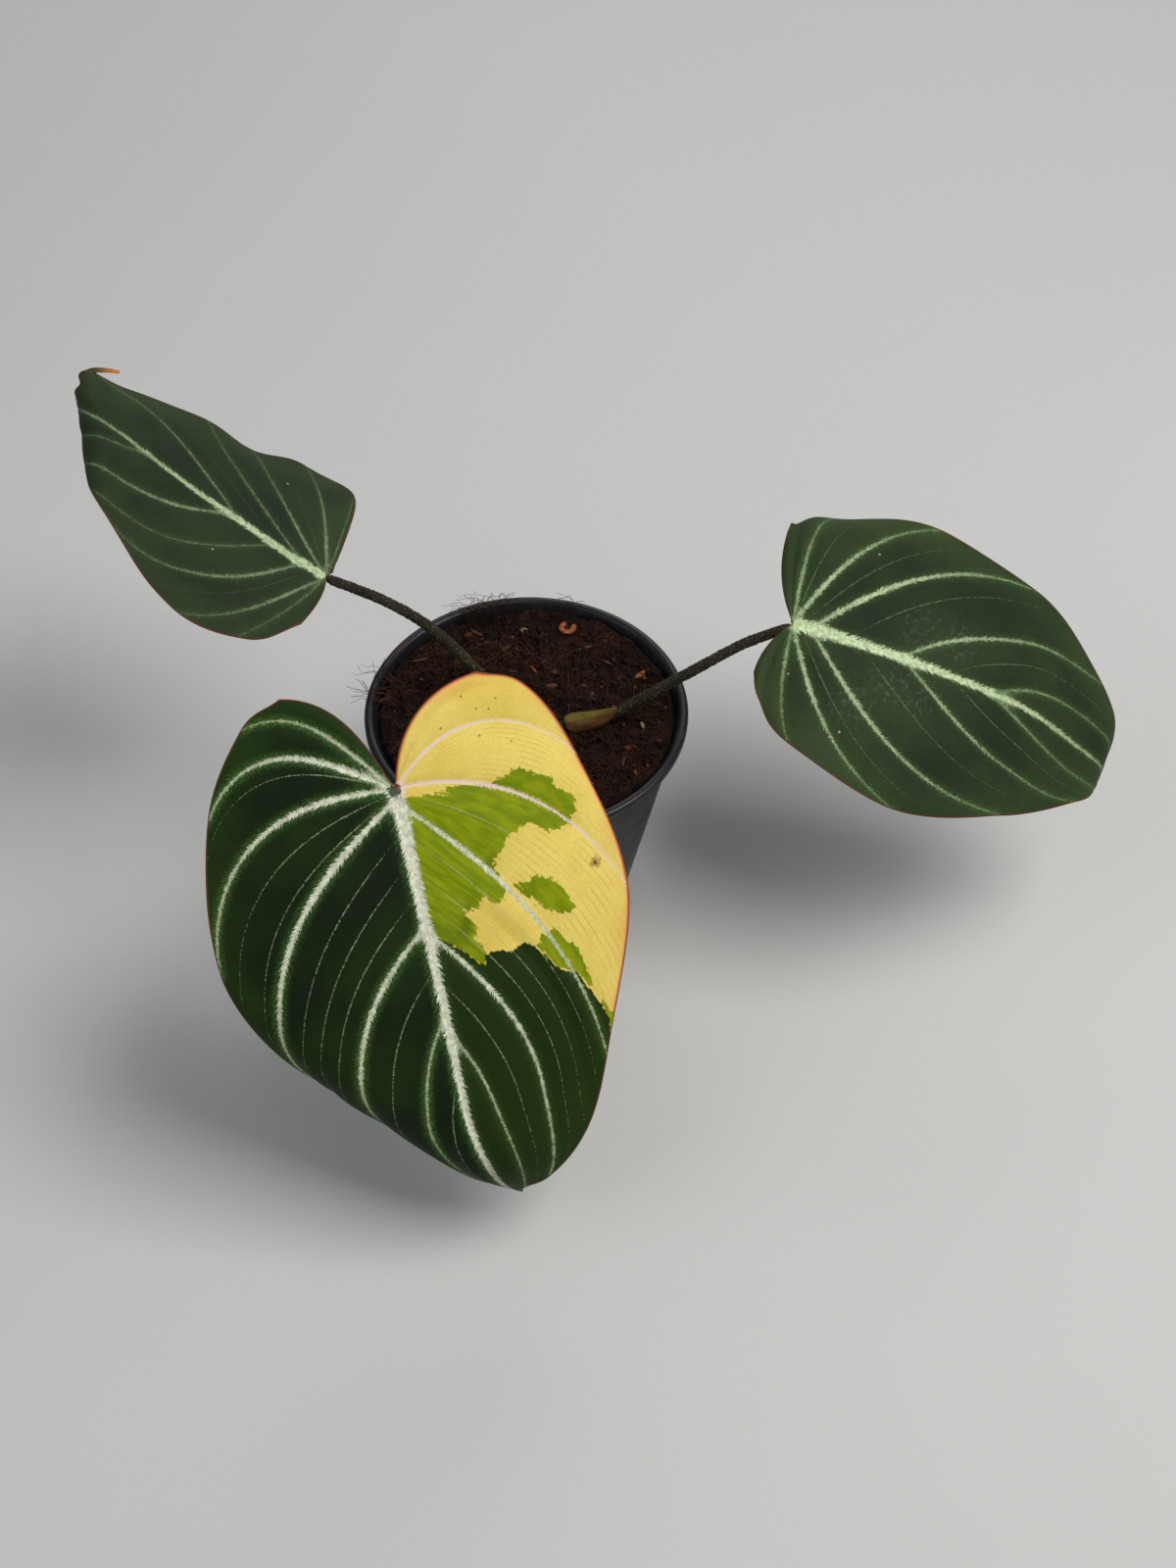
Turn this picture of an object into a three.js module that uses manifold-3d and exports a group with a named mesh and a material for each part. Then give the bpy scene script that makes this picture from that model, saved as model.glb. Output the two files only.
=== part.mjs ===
// A Philodendron gloriosum in a black plastic nursery pot.
// Millimetres, +Z up. The pot stands on z = 0 with its axis on the Z axis; the pale-lobed leaf faces -Y.
import * as THREE from 'three';
import { mergeVertices } from 'three/addons/utils/BufferGeometryUtils.js';
import Module from 'manifold-3d';

const wasm = await Module();
wasm.setup();

// ---------------------------------------------------------------- driving dimensions

const GAP = 0.3;

// pot: a 12 cm nursery pot
const POT_HEIGHT = 92;
const POT_RIM_RADIUS = 60;
const POT_BASE_RADIUS = 39;
const POT_WALL = 1.4;
const POT_FLOOR = 2;
const POT_LIP_WIDTH = 2.6;
const POT_LIP_HEIGHT = 4;
const POT_SEGMENTS = 48;
const DRAIN_HOLES = 8;
const DRAIN_HOLE_RADIUS = 3.6;
const DRAIN_HOLE_CIRCLE = 29;

// substrate: coir that fills the pot to 2.5 mm below its rim
const SOIL_LEVEL = 89.5;
const SOIL_RELIEF = 1.3;
const SOIL_RINGS = 8;
const SOIL_SEGMENTS = 40;

// creeping stem, half sunk in the substrate
const RHIZOME_START = [-15, -10, 87.5];
const RHIZOME_LENGTH = 29;
const RHIZOME_RADIUS = 6.4;
const RHIZOME_SCARS = 5;

// leaf stalks
const STALK_RADIUS = 2.1;
const STALK_SIDES = 8;
const STALK_STEPS = 14;

// sheath: a dry bract hooding the foot of the right stalk, wide at its foot and pointed at its end
const SHEATH_FROM = 0.115;
const SHEATH_TO = 0.3;
const SHEATH_RADII = [4.1, 2.6];
const SHEATH_HALF_ANGLES = [88, 14];
const SHEATH_TURN = -28;
const SHEATH_THICKNESS = 0.8;
const SHEATH_STEPS = 7;
const SHEATH_CELLS_ACROSS = 8;

// blades
const BLADE_THICKNESS = 0.7;
const RIB_DEPTH = 0.7;
const MIDRIB_DEPTH = 1.1;
const QUILTING = 0.9;
const MARGIN_WAVE = 0.7;
const BLADE_CELLS_ALONG_VEIN = 10;
const MARGIN_SPACING = 13;
const BESIDE_VEIN = 0.15;
const MARGIN_CROWDING = 1.2;

// bark chip on the substrate
const CHIP_CENTRE = [15, 44];
const CHIP_RADIUS = 3.4;
const CHIP_WIDTH = 2.1;
const CHIP_THICKNESS = 1.3;
const CHIP_OPENING = 65;
const CHIP_FLAT_RADIUS = 6;

// ---------------------------------------------------------------- small helpers

const radians = (degrees) => degrees * Math.PI / 180;
const clamp = (value, low, high) => Math.min(high, Math.max(low, value));
const smooth = (t) => t * t * (3 - 2 * t);

// value at x of a table [[x, value], ...], eased between its rows
function stations(x, table) {
  let i = 0;
  while (i < table.length - 2 && x > table[i + 1][0]) i += 1;
  const [x0, v0] = table[i];
  const [x1, v1] = table[i + 1];
  return v0 + (v1 - v0) * smooth(clamp((x - x0) / (x1 - x0), 0, 1));
}

function bodyToManifold(geometry) {
  const plain = geometry.clone();
  plain.deleteAttribute('normal');
  plain.deleteAttribute('uv');
  const welded = mergeVertices(plain, 1e-4);
  return new wasm.Manifold(new wasm.Mesh({
    numProp: 3,
    vertProperties: new Float32Array(welded.attributes.position.array),
    triVerts: new Uint32Array(welded.index.array),
  }));
}

function manifoldToBody(manifold) {
  const mesh = manifold.getMesh();
  const geometry = new THREE.BufferGeometry();
  const points = new Float32Array(mesh.numVert * 3);
  for (let i = 0; i < mesh.numVert; i += 1) {
    for (let c = 0; c < 3; c += 1) points[3 * i + c] = mesh.vertProperties[i * mesh.numProp + c];
  }
  geometry.setAttribute('position', new THREE.BufferAttribute(points, 3));
  geometry.setIndex(Array.from(mesh.triVerts));
  geometry.computeVertexNormals();
  return geometry;
}

const group = new THREE.Group();
group.name = 'philodendron_gloriosum';

function addBody(name, geometry, colour, roughness) {
  const material = new THREE.MeshStandardMaterial({ color: colour, roughness, metalness: 0 });
  const mesh = new THREE.Mesh(geometry, material);
  mesh.name = name;
  group.add(mesh);
}

// a lathe about Z from [radius, height] pairs
function turned(profile, segments) {
  const lathe = new THREE.LatheGeometry(profile.map(([r, z]) => new THREE.Vector2(r, z)), segments);
  return lathe.rotateX(Math.PI / 2);
}

// a round rod along a smooth curve through the given points
function rod(points, radius, sides, steps) {
  const curve = new THREE.CatmullRomCurve3(points.map((p) => new THREE.Vector3(...p)));
  const shape = new THREE.Shape();
  for (let i = 0; i < sides; i += 1) {
    const a = 2 * Math.PI * i / sides;
    if (i === 0) shape.moveTo(radius, 0);
    else shape.lineTo(radius * Math.cos(a), radius * Math.sin(a));
  }
  return new THREE.ExtrudeGeometry(shape, { steps, bevelEnabled: false, extrudePath: curve });
}

// ---------------------------------------------------------------- pot

// The outer wall tapers from the lip to the base; the lip is rolled out and the floor has drain holes.
const wallSlope = (POT_RIM_RADIUS - POT_LIP_WIDTH - POT_BASE_RADIUS) / POT_HEIGHT;
const outerRadius = (z) => POT_BASE_RADIUS + wallSlope * z;
const innerRadius = (z) => outerRadius(z) - POT_WALL;

const lipBottom = POT_HEIGHT - POT_LIP_HEIGHT;
const potProfile = [
  [0, 0],
  [POT_BASE_RADIUS - 1.2, 0],
  [outerRadius(1.2), 1.2],
  [outerRadius(lipBottom), lipBottom],
  [POT_RIM_RADIUS - 0.5, lipBottom + 0.4],
  [POT_RIM_RADIUS, lipBottom + 1.2],
  [POT_RIM_RADIUS, POT_HEIGHT - 0.8],
  [POT_RIM_RADIUS - 0.8, POT_HEIGHT],
  [innerRadius(POT_HEIGHT) + 0.6, POT_HEIGHT],
  [innerRadius(POT_HEIGHT), POT_HEIGHT - 0.7],
  [innerRadius(POT_FLOOR), POT_FLOOR],
  [0, POT_FLOOR],
];
let pot = bodyToManifold(turned(potProfile, POT_SEGMENTS));
for (let i = 0; i < DRAIN_HOLES; i += 1) {
  const a = 2 * Math.PI * (i + 0.5) / DRAIN_HOLES;
  const drill = new THREE.CylinderGeometry(DRAIN_HOLE_RADIUS, DRAIN_HOLE_RADIUS, 3 * POT_FLOOR, 14);
  drill.rotateX(Math.PI / 2);
  drill.translate(DRAIN_HOLE_CIRCLE * Math.cos(a), DRAIN_HOLE_CIRCLE * Math.sin(a), POT_FLOOR / 2);
  pot = pot.subtract(bodyToManifold(drill));
}
addBody('pot', manifoldToBody(pot), 0x1c1d20, 0.45);

// ---------------------------------------------------------------- creeping stem and leaf stalks

// Each stalk leaves the creeping stem and arches up to the notch of its blade.
const STALKS = {
  right: [
    [5, -9, 89], [15, -7.3, 90.7], [29, -5, 92.3],
    [41, -3.6, 100], [58.5, -1.8, 111.8], [79, -0.4, 126.2],
  ],
  left: [[0, -9, 88.5], [-8, -1.4, 97.5], [-17, 3.6, 107], [-34, 11, 122.5], [-50, 16.8, 130.2]],
  front: [[-4, -11, 88.5], [-11, -28, 106], [-24, -55, 130]],
};

// A stalk stops just short of the notch of its blade: so far below the blade and so far behind the notch.
const STALK_ENDS = {
  right: { below: 2.3, behind: 1.5 },
  left: { below: 0.1, behind: 1.3 },
  front: { below: 1.8, behind: 0.6 },
};

const stalkPath = (name) => {
  const { below, behind } = STALK_ENDS[name];
  const { N } = bladeFrame(LEAVES[name]);
  const junction = new THREE.Vector3(...LEAVES[name].junction);
  const toJunction = junction.clone().sub(new THREE.Vector3(...STALKS[name].at(-1))).normalize();
  const end = junction.addScaledVector(N, -below).addScaledVector(toJunction, -behind);
  return [...STALKS[name], end.toArray()];
};

const stalk = (name, extra) => {
  const body = rod(stalkPath(name), STALK_RADIUS + extra, STALK_SIDES, STALK_STEPS);
  return bodyToManifold(body);
};

// the creeping stem: a stub with ring scars, lying along X
const creepingStem = (extra) => {
  const profile = [[0, -extra]];
  for (let i = 0; i <= 4 * RHIZOME_SCARS; i += 1) {
    const along = i / (4 * RHIZOME_SCARS);
    const dome = Math.sqrt(Math.max(0, 1 - (2 * along - 1) ** 6));
    const scar = i % 4 === 0 ? 0.9 : 1;
    profile.push([Math.max(RHIZOME_RADIUS * (0.45 + 0.55 * dome) * scar, 0) + extra, along * RHIZOME_LENGTH]);
  }
  profile.push([0, RHIZOME_LENGTH + extra]);
  const body = turned(profile, 12);
  body.rotateY(Math.PI / 2);
  body.translate(...RHIZOME_START);
  return bodyToManifold(body);
};

const wholeStem = (extra) => ['right', 'left', 'front'].reduce(
  (joined, name) => joined.add(stalk(name, extra)),
  creepingStem(extra),
);

// ---------------------------------------------------------------- sheath

// a thin closed body from rows of [outer point, inner point] pairs, all rows alike in number
function shell(rows) {
  const across = rows[0].length;
  const positions = [];
  const triangles = [];
  rows.forEach((row) => row.forEach((pair) => pair.forEach((point) => positions.push(...point.toArray()))));
  const outer = (i, j) => 2 * (i * across + j);
  const quad = (a, b, c, d) => triangles.push(a, b, c, a, c, d);
  for (let i = 0; i < rows.length - 1; i += 1) {
    for (let j = 0; j < across - 1; j += 1) {
      const [a, b, c, d] = [outer(i, j), outer(i + 1, j), outer(i + 1, j + 1), outer(i, j + 1)];
      quad(a, b, c, d);
      quad(a + 1, d + 1, c + 1, b + 1);
    }
    const [from, to] = [outer(i, 0), outer(i + 1, 0)];
    quad(to, from, from + 1, to + 1);
    const [back, on] = [outer(i, across - 1), outer(i + 1, across - 1)];
    quad(back, on, on + 1, back + 1);
  }
  for (let j = 0; j < across - 1; j += 1) {
    const [a, b] = [outer(0, j), outer(0, j + 1)];
    quad(a, b, b + 1, a + 1);
    const [c, d] = [outer(rows.length - 1, j), outer(rows.length - 1, j + 1)];
    quad(d, c, c + 1, d + 1);
  }
  const geometry = new THREE.BufferGeometry();
  geometry.setAttribute('position', new THREE.Float32BufferAttribute(positions, 3));
  geometry.setIndex(triangles);
  geometry.computeVertexNormals();
  return geometry;
}

function sheath(extra) {
  const curve = new THREE.CatmullRomCurve3(stalkPath('right').map((p) => new THREE.Vector3(...p)));
  const rows = [];
  for (let i = 0; i <= SHEATH_STEPS; i += 1) {
    const t = i / SHEATH_STEPS;
    const along = SHEATH_FROM + (SHEATH_TO - SHEATH_FROM) * t;
    const centre = curve.getPointAt(along);
    const tangent = curve.getTangentAt(along);
    const side = new THREE.Vector3(0, 0, 1).cross(tangent).normalize();
    const up = new THREE.Vector3().crossVectors(tangent, side);
    centre.addScaledVector(tangent, (2 * t - 1) ** 9 * extra);
    const radius = SHEATH_RADII[0] + (SHEATH_RADII[1] - SHEATH_RADII[0]) * t ** 0.7;
    const half = SHEATH_HALF_ANGLES[0] + (SHEATH_HALF_ANGLES[1] - SHEATH_HALF_ANGLES[0]) * t ** 2.2;
    const row = [];
    for (let j = 0; j <= SHEATH_CELLS_ACROSS; j += 1) {
      const reach = radians(half) + extra / radius;
      const angle = radians(SHEATH_TURN) + reach * (2 * j / SHEATH_CELLS_ACROSS - 1);
      const out = up.clone().multiplyScalar(Math.cos(angle)).addScaledVector(side, Math.sin(angle));
      const radii = [radius + SHEATH_THICKNESS + extra, radius - extra];
      row.push(radii.map((r) => centre.clone().addScaledVector(out, r)));
    }
    rows.push(row);
  }
  return shell(rows);
}

// ---------------------------------------------------------------- substrate

// Crumbly relief: a few waves that never line up, flat where the bark chip lies.
function soilHeight(x, y) {
  const lumps = Math.sin(0.31 * x + 0.17 * y + 1) * Math.sin(0.27 * y - 0.12 * x + 2)
    + 0.6 * Math.sin(0.61 * x - 0.42 * y) * Math.sin(0.53 * y + 0.33 * x + 0.7);
  const toChip = Math.hypot(x - CHIP_CENTRE[0], y - CHIP_CENTRE[1]);
  const calm = smooth(clamp((toChip - CHIP_FLAT_RADIUS) / 4, 0, 1));
  return SOIL_LEVEL + SOIL_RELIEF * lumps * calm;
}

function substrate() {
  const bottom = POT_FLOOR + GAP;
  const top = SOIL_LEVEL - 1.5;
  const edge = innerRadius(top) - GAP;
  const profile = [[0, bottom], [innerRadius(bottom) - GAP, bottom], [edge, top]];
  for (let ring = SOIL_RINGS - 1; ring >= 0; ring -= 1) profile.push([edge * ring / SOIL_RINGS, SOIL_LEVEL]);
  const body = turned(profile, SOIL_SEGMENTS);
  const points = body.attributes.position;
  for (let i = 0; i < points.count; i += 1) {
    if (points.getZ(i) > SOIL_LEVEL - 0.1) points.setZ(i, soilHeight(points.getX(i), points.getY(i)));
  }
  return bodyToManifold(body);
}

// ---------------------------------------------------------------- blades

// A blade is laid out flat first: u runs from the stalk along the midrib, v across it, both in mm.
// Each row of veins is [start on the midrib, bearing there in degrees, end u, end v, hook]; a vein leaves
// at its bearing and swings towards its end, late if the hook is large. The first row is the edge of the
// basal notch.
// Then the midrib is swept sideways (sweep), the margins are curled about lines across the flat blade
// (folds: [u, v, azimuth, radius, angle]), and the blade is hung from its junction and bent along the midrib
// (arcs of [length, degrees] towards the tip and into the lobes) and across it (curl, degrees per 100 mm).
const LEAVES = {
  front: {
    junction: [-40.1, -86.2, 145], heading: 163, dip: 40, roll: 0,
    bladeArcs: [[60, 5], [60, 10], [30, 8]],
    lobeArcs: [[60, 8]],
    sweep: [[-60, 0], [108, 0], [200, 25]],
    folds: [[78, -40, -47, 14, 86], [125.5, 7, 8.5, 38, 26]],
    curlLeft: [[-60, 20], [60, 20], [150, 30]],
    curlRight: [[-60, 15], [0, 10], [150, 10]],
    left: [
      [0, 160, -37, 30, 2.5], [0, 142, -29.5, 44.5, 3.8], [0, 124, -2.5, 61.5, 3.4], [0, 95, 48, 68.5, 2],
      [3, 57, 96.5, 51, 2], [24, 50.5, 124, 39.5, 1.8], [46, 52, 137.5, 19.1, 1.6], [82, 40, 145, 6.6, 0.7],
      [120, 10, 154, 3.1, 1], [160, 0, 160, 0, 1],
    ],
    right: [
      [0, 168, -32, 35, 1.3], [0, 150, -25, 50, 1.7], [0, 133, 2, 62.5, 1.7], [0, 92, 50, 69.5, 1.1],
      [3, 46, 100, 52, 1.5], [24, 44, 124.5, 39.5, 1.8], [46, 38, 144.5, 16.7, 1.9],
      [82, 30, 148.5, 6, 1.1], [120, 14, 154, 3.2, 1], [160, 0, 160, 0, 1],
    ],
  },
  right: {
    junction: [95.5, 0, 135], heading: 102.7, dip: 10.5, roll: -22.6,
    bladeArcs: [[60, 14], [60, 10], [30, 35]],
    lobeArcs: [[8, 7], [20, 34.5]],
    sweep: [[-60, 0], [88, 1.6], [132, -5], [150, -11]],
    folds: [[4, 38, 110, 13, 53], [125, -8, -13, 18, 70]],
    curlLeft: [[-30, 15], [50, 15], [150, 13.5]],
    curlRight: [[-30, 17.5], [50, 11], [150, 13]],
    left: [
      [0, 132.5, -9, 21.3, 1.1], [0, 107, -5, 30.3, 1.4], [0, 87.5, 9.5, 43.3, 2.2],
      [0, 64.5, 53.5, 54.1, 1.7], [6.5, 46, 94, 41.3, 2], [41.5, 33, 123.5, 18.5, 2.6],
      [77.5, 27, 137, 7.5, 1.3], [114, 20, 141.5, 4.2, 1], [147, 0, 147, 0, 1],
    ],
    right: [
      [0, 128, -10.5, 40, 0.9], [0, 107, -6.5, 44, 1.3], [0, 91.5, 9, 52.1, 3.4], [0, 68.5, 45, 54.1, 2.1],
      [6.5, 48.5, 88.5, 45.8, 1.8], [41.5, 52, 124, 28.9, 0.6], [77.5, 30, 142.5, 8, 1.2],
      [114, 25, 143.5, 4.2, 1], [147, 0, 147, 0, 1],
    ],
  },
  left: {
    junction: [-72.3, 24.8, 135], heading: 285, dip: -24, roll: -5.3,
    bladeArcs: [[60, -9.3], [60, 3.8], [30, 10]],
    lobeArcs: [[8, 14.4], [14, 20]],
    sweep: [[-60, 0], [0, 0], [50, -4.4], [95, -8.6], [120, -17]],
    folds: [[91.5, 0, 28, 5, 150]],
    curlLeft: [[-30, 2], [40, 29.5], [150, 31]],
    curlRight: [[-30, 29], [40, 48], [150, 31]],
    left: [
      [0, 121, -5.5, 8.4, 0.5], [0, 87.5, 4, 50.2, 0.5], [0, 71.5, 25.5, 55.7, 2.7],
      [0, 38.5, 45, 44.8, 0.8], [10, 29, 69.5, 39.1, 1.8], [37, 33.5, 109.5, 17.3, 2.2],
      [76, 26.5, 111, 9.1, 1.4], [104, 27.5, 118, 4.4, 1], [120, 0, 120, 0, 1],
    ],
    right: [
      [0, 116.5, 0.5, 26.3, 0.5], [0, 84.5, 14, 42.1, 0.7], [0, 61.5, 39.5, 48.8, 2.7],
      [10, 57, 74, 37.1, 1.8], [37, 38.5, 104.5, 17.6, 1.7], [76, 30, 114.5, 7.8, 1.3],
      [104, 27, 118, 4.4, 1], [120, 0, 120, 0, 1],
    ],
  },
};

// the frame that a blade hangs in: U to its tip, V to its right, N out of its upper face
function bladeFrame({ heading, dip, roll }) {
  const h = radians(heading);
  const d = radians(dip);
  const r = radians(roll);
  const flat = new THREE.Vector3(Math.sin(h), Math.cos(h), 0);
  const up = new THREE.Vector3(0, 0, 1);
  const U = flat.clone().multiplyScalar(Math.cos(d)).addScaledVector(up, -Math.sin(d));
  const N0 = flat.clone().multiplyScalar(Math.sin(d)).addScaledVector(up, Math.cos(d));
  const V0 = new THREE.Vector3().crossVectors(N0, U);
  const V = V0.clone().multiplyScalar(Math.cos(r)).addScaledVector(N0, -Math.sin(r));
  const N = N0.clone().multiplyScalar(Math.cos(r)).addScaledVector(V0, Math.sin(r));
  return { U, V, N };
}

// walks a distance along a smooth chain of arcs that bends down; gives run, drop and bend so far
function alongArcs(distance, chain) {
  let x = 0;
  let z = 0;
  let bend = 0;
  let left = distance;
  chain.forEach(([length, degrees], i) => {
    const step = i === chain.length - 1 ? left : Math.min(left, length);
    const k = radians(degrees) / length;
    if (Math.abs(k) < 1e-9) {
      x += Math.cos(bend) * step;
      z -= Math.sin(bend) * step;
    } else {
      x += (Math.sin(bend + k * step) - Math.sin(bend)) / k;
      z += (Math.cos(bend + k * step) - Math.cos(bend)) / k;
    }
    bend += k * step;
    left -= step;
  });
  return { x, z, bend };
}

// a point of the flat blade, with h mm above it, put where it hangs
function hung(leaf, frame, u, v, h) {
  const forward = u >= 0;
  const arc = alongArcs(Math.abs(u), forward ? leaf.bladeArcs : leaf.lobeArcs);
  const sign = forward ? 1 : -1;
  const point = new THREE.Vector3(...leaf.junction);
  point.addScaledVector(frame.U, sign * arc.x).addScaledVector(frame.N, arc.z);
  const normal = frame.N.clone().multiplyScalar(Math.cos(arc.bend));
  normal.addScaledVector(frame.U, sign * Math.sin(arc.bend));
  const curl = radians(stations(u, v < 0 ? leaf.curlLeft : leaf.curlRight)) / 100;
  const side = Math.abs(v);
  point.addScaledVector(frame.V, Math.sign(v) * Math.sin(curl * side) / curl);
  point.addScaledVector(normal, (Math.cos(curl * side) - 1) / curl);
  const across = normal.clone().multiplyScalar(Math.cos(curl * side));
  across.addScaledVector(frame.V, Math.sign(v) * Math.sin(curl * side));
  return point.addScaledVector(across, h);
}

function folded(leaf, frame, flatU, flatV) {
  let u = flatU;
  let v = flatV + stations(flatU, leaf.sweep);
  let h = 0;
  leaf.folds.forEach(([foldU, foldV, azimuth, radius, angle]) => {
    const du = Math.cos(radians(azimuth));
    const dv = Math.sin(radians(azimuth));
    const past = (u - foldU) * du + (v - foldV) * dv;
    if (past <= 0) return;
    const full = radians(angle);
    const turn = Math.min(past / radius, full);
    const straight = Math.max(past - radius * full, 0);
    const shift = radius * Math.sin(turn) + straight * Math.cos(full) - past;
    u += shift * du;
    v += shift * dv;
    h -= radius * (1 - Math.cos(turn)) + straight * Math.sin(full);
  });
  return hung(leaf, frame, u, v, h);
}

// a smooth curve through the rows' values at position k
function betweenRows(rows, k, column) {
  const i = clamp(Math.floor(k), 0, rows.length - 2);
  const f = k - i;
  const p1 = rows[i][column];
  const p2 = rows[i + 1][column];
  const p0 = i > 0 ? rows[i - 1][column] : 2 * p1 - p2;
  const p3 = i < rows.length - 2 ? rows[i + 2][column] : 2 * p2 - p1;
  const cubic = (3 * p1 - p0 - 3 * p2 + p3) * f * f * f;
  return 0.5 * (2 * p1 + (p2 - p0) * f + (2 * p0 - 5 * p1 + 4 * p2 - p3) * f * f + cubic);
}

// the flat point at fraction t of the vein line k of one half of the blade
function veinPoint(rows, k, t) {
  const i = clamp(Math.floor(k), 0, rows.length - 2);
  const start = rows[i][0] + (rows[i + 1][0] - rows[i][0]) * (k - i);
  const bearing = radians(betweenRows(rows, k, 1));
  const endU = betweenRows(rows, k, 2) - start;
  const endV = Math.max(betweenRows(rows, k, 3), 0);
  const hook = betweenRows(rows, k, 4);
  const reach = Math.hypot(endU, endV);
  const direction = bearing + (Math.atan2(endV, endU) - bearing) * t ** hook;
  return [start + reach * t * Math.cos(direction), reach * t * Math.sin(direction)];
}

// The vein lines that the mesh follows, as positions between the rows: each vein, a line close on either
// side of it and more where the veins run far apart. Veins that leave the midrib do so at the same places
// in both halves.
function veinLines(rows, otherRows) {
  const gap = (list, i) => {
    const atMargin = Math.hypot(list[i + 1][2] - list[i][2], list[i + 1][3] - list[i][3]);
    return Math.max(atMargin, list[i + 1][0] - list[i][0]);
  };
  const shift = otherRows.length - rows.length;
  const lines = [];
  for (let i = 0; i < rows.length - 1; i += 1) {
    const shared = rows[i + 1][0] > 0;
    const width = shared ? Math.max(gap(rows, i), gap(otherRows, i + shift)) : gap(rows, i);
    const spans = Math.round(width / MARGIN_SPACING);
    lines.push(i);
    if (spans < 2) lines.push(i + 0.5);
    for (let n = 0; n <= spans && spans > 1; n += 1) {
      lines.push(i + BESIDE_VEIN + (1 - 2 * BESIDE_VEIN) * n / spans);
    }
  }
  lines.push(rows.length - 1);
  return lines;
}

function blade(leaf) {
  const frame = bladeFrame(leaf);
  const positions = [];
  const triangles = [];
  const cells = BLADE_CELLS_ALONG_VEIN;

  const tip = leaf.left.at(-1)[2];
  const numbered = new Map();

  // puts the upper and lower point of a place on a vein line in the mesh; the halves share the midrib's
  // points
  const vertexPair = (side, rows, k, t) => {
    const [u, width] = veinPoint(rows, k, t);
    const v = width < 1e-6 ? 0 : side * width;
    const key = `${u.toFixed(3)} ${v.toFixed(3)}`;
    if (numbered.has(key)) return numbered.get(key);
    const step = 0.25;
    const at = folded(leaf, frame, u, v);
    const alongU = folded(leaf, frame, u + step, v).sub(folded(leaf, frame, u - step, v));
    const alongV = folded(leaf, frame, u, v + step).sub(folded(leaf, frame, u, v - step));
    const normal = new THREE.Vector3().crossVectors(alongU, alongV).normalize();
    const toTip = clamp((tip - u) / 45, 0, 1);
    const between = Math.sin(Math.PI * (k - Math.floor(k)));
    const puff = QUILTING * between * Math.sqrt(t) * (1 - t ** 4) * toTip;
    const wave = MARGIN_WAVE * Math.sin(4.3 * k + 2 * side) * t ** 6 * toTip;
    const rib = k === Math.floor(k) ? RIB_DEPTH * (1 - t * t) * Math.min(1, 8 * t) * toTip : 0;
    const midrib = v === 0 ? MIDRIB_DEPTH * toTip * clamp(u / 6, 0, 1) : 0;
    const middle = puff + wave;
    const top = at.clone().addScaledVector(normal, middle + BLADE_THICKNESS / 2);
    const bottom = at.addScaledVector(normal, middle - BLADE_THICKNESS / 2 - Math.max(rib, midrib));
    numbered.set(key, positions.length / 3);
    positions.push(...top.toArray(), ...bottom.toArray());
    return numbered.get(key);
  };

  // numbered grids of the upper and lower face, one pair for each half
  const halves = [[-1, leaf.left, leaf.right], [1, leaf.right, leaf.left]].map(([side, rows, otherRows]) => {
    const lines = veinLines(rows, otherRows);
    const grid = lines.map((k) => {
      const line = [];
      for (let j = 0; j <= cells; j += 1) {
        line.push(vertexPair(side, rows, k, 1 - (1 - j / cells) ** MARGIN_CROWDING));
      }
      return line;
    });
    return { side, grid };
  });

  const triangle = (a, b, c) => {
    if (a !== b && b !== c && c !== a) triangles.push(a, b, c);
  };
  const quad = (a, b, c, d) => {
    triangle(a, b, c);
    triangle(a, c, d);
  };
  halves.forEach(({ side, grid }) => {
    const wall = (p, q) => {
      if (side > 0) quad(q, p, p + 1, q + 1);
      else quad(p, q, q + 1, p + 1);
    };
    for (let i = 0; i < grid.length - 1; i += 1) {
      for (let j = 0; j < cells; j += 1) {
        const [a, b, c, d] = [grid[i][j], grid[i + 1][j], grid[i + 1][j + 1], grid[i][j + 1]];
        if (side > 0) {
          quad(a, b, c, d);
          quad(a + 1, d + 1, c + 1, b + 1);
        } else {
          quad(a, d, c, b);
          quad(a + 1, b + 1, c + 1, d + 1);
        }
      }
      wall(grid[i + 1][cells], grid[i][cells]);
    }
    for (let j = 0; j < cells; j += 1) wall(grid[0][j + 1], grid[0][j]);
  });

  const geometry = new THREE.BufferGeometry();
  geometry.setAttribute('position', new THREE.Float32BufferAttribute(positions, 3));
  geometry.setIndex(triangles);
  geometry.computeVertexNormals();
  return geometry;
}

addBody('stem', manifoldToBody(wholeStem(0)), 0x5b5a3e, 0.8);
addBody('sheath', sheath(0), 0x77703a, 0.8);
const bedding = wholeStem(GAP).add(bodyToManifold(sheath(GAP)));
addBody('substrate', manifoldToBody(substrate().subtract(bedding)), 0x3a2a1f, 0.95);

// a curved flake of bark, lying on the substrate like a C
const chipShape = new THREE.Shape();
const chipFrom = radians(CHIP_OPENING + 40);
const chipTo = radians(CHIP_OPENING + 325);
chipShape.absarc(0, 0, CHIP_RADIUS, chipFrom, chipTo, false);
chipShape.absarc(0, 0, CHIP_RADIUS - CHIP_WIDTH, chipTo, chipFrom, true);
const chipForm = { depth: CHIP_THICKNESS, bevelEnabled: false, curveSegments: 12 };
const chip = new THREE.ExtrudeGeometry(chipShape, chipForm);
chip.translate(CHIP_CENTRE[0], CHIP_CENTRE[1], SOIL_LEVEL + GAP);
addBody('bark_chip', chip, 0xa8622f, 0.85);

const BLADE_COLOURS = { front: 0x8c9a3a, right: 0x3f5a39, left: 0x47603f };
Object.entries(LEAVES).forEach(([name, leaf]) => {
  addBody(`leaf_${name}`, blade(leaf), BLADE_COLOURS[name], 0.7);
});

export default group;
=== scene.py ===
import math
import random

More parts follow.
